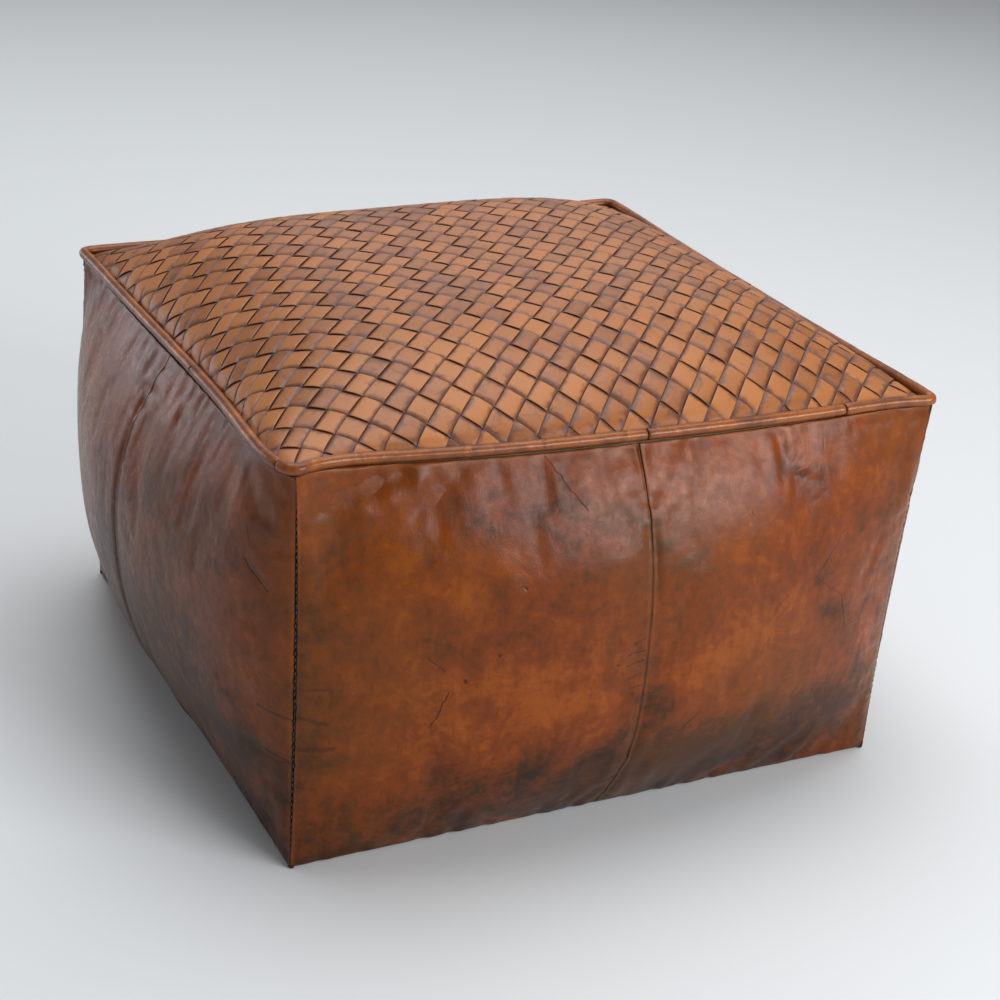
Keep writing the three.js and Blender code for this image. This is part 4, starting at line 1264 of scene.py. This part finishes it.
BACKING_DEPTH = 4.3 * MM
places = np.linspace(0.0185, 0.9815, 60)
s, t = np.meshgrid(places, places)
backing = skin_piece(
    "canvas_backing",
    top_point(s, t, top=BACKING_DEPTH),
    top_point(s, t, top=BACKING_DEPTH + 0.8 * CANVAS),
)
roughen(backing, 30 * MM, -0.1 * MM)
finish_piece(backing, unbleached, "cotton_canvas", "top_backing")


# ---- Piping ----
# A cotton cord wrapped in thin leather is sewn into the top seam. The leather comes in six
# lengths that butt together. Its raw edges run down into the seam as a flange.

PIPING_JOINTS = (-1, 12, 20, 36, 60, 86, 95)    # in 24ths of an edge from the front left corner
PIPING_CORD_RADIUS = 2 * MM
PIPING_SIDES = 30
FLANGE_TURN = 1.3 * np.pi           # where the raw edges leave the roll, down and inwards
FLANGE_REACH = 3.5 * MM


def piping_line():
    """The middle of the piping, all the way round, with its corners rounded."""
    points = []
    names = list(FACES)
    for k, face in enumerate(names):
        points.append(top_edge(face, np.linspace(0.016, 0.984, 160)))
        following = names[(k + 1) % 4]
        a, b = top_edge(face, 0.984), top_edge(following, 0.016)
        corner = top_corner(FACES[face]["start"] + 1, 0, 0)
        bend = np.linspace(0, 1, 10)[1:-1, None]
        points.append(a * (1 - bend) ** 2 + 2 * corner * bend * (1 - bend) + b * bend ** 2)
    return np.concatenate(points)


LOOP = piping_line()
LOOP = np.concatenate([LOOP, LOOP[:1]])
LOOP_LENGTHS = np.concatenate([[0], np.cumsum(np.linalg.norm(np.diff(LOOP, axis=0), axis=1))])


def on_piping(lengths):
    """Points on the middle of the piping at lengths from its start."""
    around = np.mod(lengths, LOOP_LENGTHS[-1])
    return np.stack([np.interp(around, LOOP_LENGTHS, LOOP[:, axis]) for axis in range(3)], 1)


def piping_rings(lengths, radius_at):
    """Rings round the piping's middle. radius_at gives radii for lengths and turns."""
    ahead = on_piping(lengths + 1 * MM) - on_piping(lengths - 1 * MM)
    ahead /= np.linalg.norm(ahead, axis=1, keepdims=True)
    out = np.cross(ahead, (0.0, 0.0, 1.0))
    out /= np.linalg.norm(out, axis=1, keepdims=True)
    up = np.cross(out, ahead)
    turns = 2 * np.pi * np.arange(PIPING_SIDES) / PIPING_SIDES
    radius = radius_at(lengths[:, None], turns[None])[..., None]
    ring = out[:, None] * np.cos(turns)[:, None] + up[:, None] * np.sin(turns)[:, None]
    return on_piping(lengths)[:, None] + radius * ring, turns


LONGEST = 3.0       # metres, more than the piping's whole length


def smooth_noise(values, seed, size):
    """Soft random numbers from -1 to 1 along a length."""
    random = np.random.default_rng(seed)
    count = int(LONGEST / size)
    return np.interp(np.mod(values, LONGEST), np.arange(count) * size, random.uniform(-1, 1, count))


def piping_leather():
    """Glossy rolled leather, cracked across where it bends, with painted shade underneath and darker cut
    ends.
    """
    roll = Finish("rolled_leather", IOR=1.42)
    axes = {"X": roll.measured("along"), "Y": roll.measured("around")}
    place = roll.put("CombineXYZ", axes).outputs["Vector"]
    stretched = roll.put("Mapping", {"Vector": place, "Scale": (1, 0.12, 1)}).outputs["Vector"]
    cracks = roll.noise(1.3 * MM, detail=3, roughness=0.7, place=stretched)
    rolls = roll.noise(5 * MM, detail=3, place=stretched)
    clouds = roll.noise(25 * MM, detail=5, roughness=0.65, distortion=1)
    colour = roll.mix(roll.span(clouds, 0.35, 0.68), (0.33, 0.088, 0.010), (0.15, 0.037, 0.005))
    crack = roll.maths("MULTIPLY", roll.span(cracks, 0.6, 0.72), roll.span(clouds, 0.4, 0.6, 0.35, 1.0))
    colour = roll.mix(roll.maths("MULTIPLY", crack, 0.6), colour, (0.04, 0.014, 0.007))
    # painted shade on the underside, and the darker cut ends at the butt joints
    colour = roll.mix(roll.measured("under"), colour, (0.045, 0.012, 0.004))
    relief = roll.bump(rolls, 0.3 * MM)
    relief = roll.bump(crack, -0.15 * MM, relief)
    relief = roll.bump(roll.noise(0.9 * MM, detail=3), 0.05 * MM, relief)
    gloss = roll.span(clouds, 0.3, 0.7, 0.24, 0.36)
    roll.set(roll.surface, {"Base Color": colour, "Roughness": gloss, "Normal": relief})
    return roll.material


rolled = piping_leather()
STEP = LOOP_LENGTHS[-1] / 96


def piping_cover(number, begin, end):
    """One length of rolled leather, a little fatter where it starts."""
    begin, end = begin * STEP + GAP / 2, end * STEP - GAP / 2
    ends = np.array([0, 0.15, 0.5, 1.0, 1.8]) * MM
    count = max(4, round((end - begin) / (3 * MM)))
    middle = np.linspace(begin + 3 * MM, end - 3 * MM, count)
    lengths = np.concatenate([begin + ends, middle, end - ends[::-1]])

    def radius_at(length, turn):
        from_end = np.minimum(length - begin, end - length)
        rounded = 1 - 0.22 * np.exp(-from_end / (0.5 * MM))
        fatter = 1 + 0.06 * np.exp(-(length - begin) / (14 * MM))
        uneven = 1 + 0.035 * smooth_noise(length, number, 9 * MM)
        uneven = uneven + 0.02 * smooth_noise(length + 0.01 * np.cos(turn), number + 20, 3 * MM)
        radius = PIPING_RADIUS * rounded * fatter * uneven * (0.985 + 0.015 * np.cos(2 * turn))
        return radius + FLANGE_REACH * np.exp(-((turn - FLANGE_TURN) / 0.28) ** 2)

    rings, turns = piping_rings(lengths, radius_at)
    faces = closed_rings(*rings.shape[:2], inside_out=True)
    piece = mesh_piece(f"piping_{number}", rings.reshape(-1, 3), faces)
    shape = np.ones(rings.shape[:2])
    store(piece, "along", lengths[:, None] * shape)
    store(piece, "around", turns[None] * PIPING_RADIUS * shape)
    # under holds painted shade on the roll's underside and the darker cut ends at the joints
    at_end = np.exp(-np.minimum(lengths - begin, end - lengths) / (0.7 * MM))[:, None]
    below = 1 / (1 + np.exp(-(-np.sin(turns + 0.35) - 0.1) * 6))
    store(piece, "under", np.maximum(0.85 * below[None] * shape, 0.9 * at_end * shape))
    finish_piece(piece, rolled, "piping_leather", f"piping_cover_{number}")


for number, (begin, end) in enumerate(zip(PIPING_JOINTS, PIPING_JOINTS[1:]), 1):
    piping_cover(number, begin, end)


def cord_finish():
    """Three-strand cotton cord, undyed."""
    strand = Finish("cotton_cord", Roughness=0.9)
    wave = strand.put("TexWave", {"Vector": strand.place, "Scale": 130, "Distortion": 0.5})
    twist = wave.outputs["Fac"]
    colour = strand.mix(twist, (0.42, 0.37, 0.30), (0.60, 0.54, 0.45))
    strand.set(strand.surface, {"Base Color": colour, "Normal": strand.bump(twist, 0.3 * MM)})
    return strand.material


def twisted(length, turn):
    """Radii of a cord of three strands, which go round it once in 18 mm."""
    strands = np.abs(np.sin(1.5 * (turn - 2 * np.pi * length / (18 * MM))))
    return PIPING_CORD_RADIUS * (0.82 + 0.18 * strands)


lengths = np.arange(GAP, LOOP_LENGTHS[-1] - GAP, 3 * MM)
rings, _ = piping_rings(lengths, twisted)
faces = closed_rings(len(lengths), PIPING_SIDES, inside_out=True)
cord = mesh_piece("piping_core", rings.reshape(-1, 3), faces)
finish_piece(cord, cord_finish(), "cotton_cord", "piping_cord")


# ---- Base panels ----
# Two pieces of plain dark leather close the base. Along the zip their edges are turned up into
# a shallow groove, so that the slider never touches the floor.

BASE_HALF = 243.1 * MM
GROOVE_PROFILE = (      # away from the zip and above the floor, in mm, along the lower face
    (8, 6), (9, 5.9), (11, 5.9), (12.6, 5.3), (15.5, 3.2), (18.4, 1.1), (20.5, 0.2), (23, 0),
)
WRINKLE_DEPTH = 0.4 * MM
EDGE_ROLL = (1.0 * MM, 2.5 * MM)        # how far the outer edge turns up, and over what width


def base_leather():
    """Dark drum-dyed leather, matt, scuffed where it rubs on the floor."""
    plain = Finish("base_leather", Roughness=0.7)
    clouds = plain.noise(50 * MM, detail=5, roughness=0.6)
    dragged = plain.stretched(1, 0.3, 1, (0, 0, 0.7))
    scuffs = plain.noise(7 * MM, detail=5, roughness=0.75, place=dragged)
    grain = plain.cells(1.6 * MM, "DISTANCE_TO_EDGE")
    colour = plain.mix(plain.span(clouds, 0.35, 0.7), (0.115, 0.052, 0.024), (0.070, 0.033, 0.018))
    colour = plain.mix(plain.span(scuffs, 0.62, 0.8, 0.0, 0.6), colour, (0.16, 0.09, 0.05))
    relief = plain.bump(plain.span(grain, 0.0, 0.3), 0.08 * MM, plain.bump(clouds, 1.2 * MM))
    gloss = plain.span(scuffs, 0.4, 0.8, 0.6, 0.8)
    plain.set(plain.surface, {"Base Color": colour, "Roughness": gloss, "Normal": relief})
    return plain.material


dark_leather = base_leather()


def sewn_row(start, end, low, radius, pitch, length):
    """Straight stitches from start to end, each a short arched thread below a surface."""
    line = np.array(end) - np.array(start)
    down = np.array([0.0, 0.0, -1.0])
    direction = line / np.linalg.norm(line)
    share = np.linspace(0, 1, 6)
    arch = np.sin(np.pi * share)
    stitches = []
    for k in range(int(np.linalg.norm(line) / pitch)):
        points = np.array(start) + direction * (k * pitch + share * length)[:, None]
        points = points + down * (low * arch)[:, None]
        stitches.append(tube(points, radius * (0.6 + 0.4 * arch), 6, down))
    return stitches


for half, sign in (("front", -1), ("rear", 1)):
    profile = np.array(GROOVE_PROFILE) * MM
    flat = np.linspace(profile[-1, 0], BASE_HALF, 34)[1:]
    away = np.concatenate([profile[:, 0], flat])
    rise = np.concatenate([profile[:, 1], 0 * flat])
    x, y = np.meshgrid(np.linspace(-BASE_HALF, BASE_HALF, 70), sign * away)
    z = np.repeat(rise[:, None], x.shape[1], 1)
    wrinkle = np.sin(x / (31 * MM) + 2 * np.sin(y / (47 * MM)))
    wrinkle = wrinkle * np.sin(y / (23 * MM) + x / (90 * MM))
    z = z + WRINKLE_DEPTH * (1 + wrinkle) * np.clip((np.abs(y) - 22 * MM) / (30 * MM), 0, 1)
    edge = np.minimum(BASE_HALF - np.abs(x), BASE_HALF - np.abs(y))
    z = z + EDGE_ROLL[0] * np.exp(-edge / EDGE_ROLL[1])
    lower = np.stack([x, y, z], -1)
    upper = lower + (0, 0, 0.9 * LEATHER)
    panel = skin_piece(f"base_{half}", lower, upper, flipped=sign > 0)
    finish_piece(panel, dark_leather, "base_leather", f"base_panel_{half}")


# ---- Zip tapes and end tabs ----
# Two dark twill tapes carry the teeth. Each is sewn to its base panel in one straight row, and
# a leather tab covers them at each end.

TAPE_ENDS = (-225 * MM, 233 * MM)
TAPE_SIDES = (3.35 * MM, 15.9 * MM)         # from the zip's middle line
TAPE_HEIGHTS = (8.40 * MM, 9.00 * MM)
SEWN_ENDS = (-200 * MM, 206 * MM)
SEWN_AWAY = 9.6 * MM
SEWN_HEIGHT = 6.1 * MM
TAB_HALF_WIDTH = 11 * MM
TAB_HEIGHTS = (4.25 * MM, 5.65 * MM)


def twill_finish():
    """Cotton twill dyed nearly black, with its slanting ribs."""
    twill = Finish("zip_tape", Roughness=0.9)
    place = twill.stretched(1, 1, 1, (0, 0, math.radians(35)))
    ribs = twill.put("TexWave", {"Vector": place, "Scale": 420, "Distortion": 0.3}).outputs["Fac"]
    wear_and_highlight = twill.noise(14 * MM, detail=4)
    colour = twill.mix(twill.span(wear_and_highlight, 0.35, 0.75), (0.020, 0.015, 0.012), (0.045, 0.034, 0.026))
    twill.set(twill.surface, {"Base Color": colour, "Normal": twill.bump(ribs, 0.15 * MM)})
    return twill.material


twill = twill_finish()
for half, sign in (("front", -1), ("rear", 1)):
    x, y = np.meshgrid(np.linspace(*TAPE_ENDS, 120), sign * np.linspace(*TAPE_SIDES, 9))
    sag = 0.05 * MM * np.sin(x / (9 * MM)) * np.sin(y / (4 * MM))
    lower, upper = (np.stack([x, y, height + sag], -1) for height in TAPE_HEIGHTS)
    tape = skin_piece(f"{half}_zip_tape", lower, upper, flipped=sign > 0)
    finish_piece(tape, twill, "zip_tape", f"zip_tape_{half}")
    start, end = ((x, sign * SEWN_AWAY, SEWN_HEIGHT) for x in SEWN_ENDS)
    sizes = {"low": 0.55 * MM, "radius": 0.35 * MM, "pitch": 4.2 * MM, "length": 3.2 * MM}
    stitches = sewn_row(start, end, **sizes)
    seam = mesh_piece(f"{half}_zip_stitches", *joined(stitches))
    seam.data.materials.append(linen)
    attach(seam, "cover")


for name, start, end in (("open", -242, -208), ("closed", 220, 244)):
    low = Vector((start * MM, -TAB_HALF_WIDTH, TAB_HEIGHTS[0]))
    high = Vector((end * MM, TAB_HALF_WIDTH, TAB_HEIGHTS[1]))
    tab = cut_block(f"{name}_end_tab", low, high, 0.6 * MM)
    finish_piece(tab, dark_leather, "base_leather", f"zip_end_tab_{name}")


# ---- Zip teeth and stops ----
# Brass teeth are clamped one by one over the beaded edge of each tape, and a wider clamp stops
# the slider at each end.

TOOTH_PITCH = 4 * MM
TEETH_FROM, TEETH_TO = -199 * MM, 207 * MM
TEETH_LOW, TEETH_HIGH = 7.45 * MM, 9.85 * MM
STOP_HALF_WIDTH = 2.9 * MM
# Each tooth is a nose between two legs that clamp the tape: how far they reach from the middle
# line in mm, their heights, and their width in mm.
TOOTH_PARTS = (
    ((0.85, 3.0), (TEETH_LOW + 0.5 * MM, TEETH_HIGH - 0.5 * MM), 1.9),
    ((2.2, 4.2), (TEETH_LOW, TEETH_LOW + 0.8 * MM), 2.3),
    ((2.2, 4.2), (TEETH_HIGH - 0.7 * MM, TEETH_HIGH), 2.3),
)


def brass_finish():
    """Antiqued brass, tarnished dark in uneven patches, with fine scratches."""
    brass = Finish("antique_brass", Metallic=1.0)
    tarnish = brass.noise(5 * MM, detail=5, roughness=0.65)
    scratches = brass.noise(1.2 * MM, detail=4, place=brass.stretched(0.15, 1, 1))
    colour = brass.mix(brass.span(tarnish, 0.35, 0.65), (0.42, 0.30, 0.13), (0.16, 0.11, 0.05))
    gloss = brass.span(tarnish, 0.3, 0.7, 0.28, 0.5)
    relief = brass.bump(scratches, 0.03 * MM)
    brass.set(brass.surface, {"Base Color": colour, "Roughness": gloss, "Normal": relief})
    return brass.material


brass = brass_finish()


def bevelled_blocks(name, blocks, easing):
    """Several small blocks, given by their lowest and highest corners, as one mesh with eased edges."""
    form = bmesh.new()
    for low, high in blocks:
        low, high = Vector(low), Vector(high)
        made = bmesh.ops.create_cube(form, size=1)["verts"]
        bmesh.ops.scale(form, vec=high - low, verts=made)
        bmesh.ops.translate(form, vec=(low + high) / 2, verts=made)
    bmesh.ops.bevel(form, geom=form.edges[:], offset=easing, segments=2, profile=0.5, affect="EDGES")
    mesh = bpy.data.meshes.new(name)
    form.to_mesh(mesh)
    form.free()
    piece = bpy.data.objects.new(name, mesh)
    bpy.context.scene.collection.objects.link(piece)
    return piece


for half, sign in (("front", -1), ("rear", 1)):
    teeth = []
    offset = 0 if sign < 0 else TOOTH_PITCH / 2
    for x in np.arange(TEETH_FROM + offset, TEETH_TO - TOOTH_PITCH, TOOTH_PITCH):
        for away, (low, high), width in TOOTH_PARTS:
            near, far = sorted(sign * place * MM for place in away)
            teeth.append(((x - width / 2 * MM, near, low), (x + width / 2 * MM, far, high)))
    row = bevelled_blocks(f"{half}_teeth", teeth, 0.2 * MM)
    finish_piece(row, brass, "zip_metal", f"zip_teeth_{half}")

for name, start, end in (("open", -203.6, -200.6), ("closed", 212.6, 215.6)):
    low, high = (start * MM, -STOP_HALF_WIDTH, TEETH_LOW), (end * MM, STOP_HALF_WIDTH, TEETH_HIGH)
    stop = bevelled_blocks(f"{name}_stop", [(low, high)], 0.5 * MM)
    finish_piece(stop, brass, "zip_metal", f"zip_stop_{name}")


# ---- Zip slider and pull ----
# The brass slider is two plates joined by a bridge, with a lug under it. The pull hangs on the
# lug by a small loop and lies along the closed zip. Both keep their drawn shape.

for node in ("zip_slider", "zip_pull"):
    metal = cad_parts[node]
    metal.data.materials.clear()
    metal.data.materials.append(brass)


# ---- Floor, light and camera ----
# The pouf stands on a pale matt floor. A broad cool window lights it from the left and the back,
# a soft lamp from the front, and the camera looks down at its front left corner.

LENS = 74.68                # millimetres, on a sensor 36 mm wide
AZIMUTH, ELEVATION, ROLL = (math.radians(a) for a in (-27.2, 24.55, 4.06))
DISTANCE = 1.723
AIM_HEIGHT = 0.1493
AIM_RIGHT, AIM_UP = 0.02448, -0.002145
FLOOR = 20                  # half the floor's width


def place_camera():
    back = Vector((
        math.sin(AZIMUTH) * math.cos(ELEVATION),
        -math.cos(AZIMUTH) * math.cos(ELEVATION),
        math.sin(ELEVATION),
    ))
    level = Vector((0, 0, 1)).cross(back).normalized()
    upright = back.cross(level)
    right = math.cos(ROLL) * level + math.sin(ROLL) * upright
    up = math.cos(ROLL) * upright - math.sin(ROLL) * level
    aim = Vector((0, 0, AIM_HEIGHT)) + AIM_RIGHT * right + AIM_UP * up
    camera = bpy.data.objects.new("camera", bpy.data.cameras.new("camera"))
    bpy.context.scene.collection.objects.link(camera)
    camera.data.lens = LENS
    turned = Matrix((right, up, back)).transposed().to_4x4()
    camera.matrix_world = Matrix.Translation(aim + DISTANCE * back) @ turned
    bpy.context.scene.camera = camera


place_camera()


floor = mesh_piece("floor", [(x * FLOOR, y * FLOOR, 0) for x, y in CORNER_SIGNS], [(0, 1, 2, 3)])
floor.location.z = -GAP
matt = Finish("pale_floor", Roughness=0.9)
matt.set(matt.surface, {"Base Color": (0.74, 0.74, 0.73, 1)})
floor.data.materials.append(matt.material)
floor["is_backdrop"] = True


def soft_light(name, place, aim, size, power, colour):
    light = bpy.data.lights.new(name, "AREA")
    light.shape = "RECTANGLE"
    light.size, light.size_y = size
    light.energy = power
    light.color = colour
    lamp = bpy.data.objects.new(name, light)
    bpy.context.scene.collection.objects.link(lamp)
    lamp.location = place
    lamp.rotation_euler = (Vector(aim) - Vector(place)).to_track_quat("-Z", "Y").to_euler()


soft_light("window", (-1.5, 2.6, 0.6), (-0.2, 0.1, 0.2), (1.6, 0.8), 12, (0.80, 0.90, 1.0))
soft_light("sky", (0.3, 0.5, 2.6), (0, 0, 0.3), (2.6, 2.0), 56, (0.93, 0.97, 1.0))
soft_light("far_wall", (1.3, 2.6, 1.5), (0, 0, 0.35), (2.0, 1.2), 7, (0.85, 0.92, 1.0))
soft_light("lamp", (1.1, -2.1, 1.12), (0, 0, 0.27), (1.7, 0.8), 48, (0.92, 0.96, 1.0))

world = bpy.data.worlds.new("room")
bpy.context.scene.world = world
world.use_nodes = True
world.node_tree.nodes["Background"].inputs["Color"].default_value = (0.93, 0.95, 1.0, 1)
world.node_tree.nodes["Background"].inputs["Strength"].default_value = 0.24
bpy.context.scene.view_settings.view_transform = "Standard"

low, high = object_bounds()
sizes = {"cad": [list(cad_low), list(cad_high)], "visual": [list(low), list(high)]}
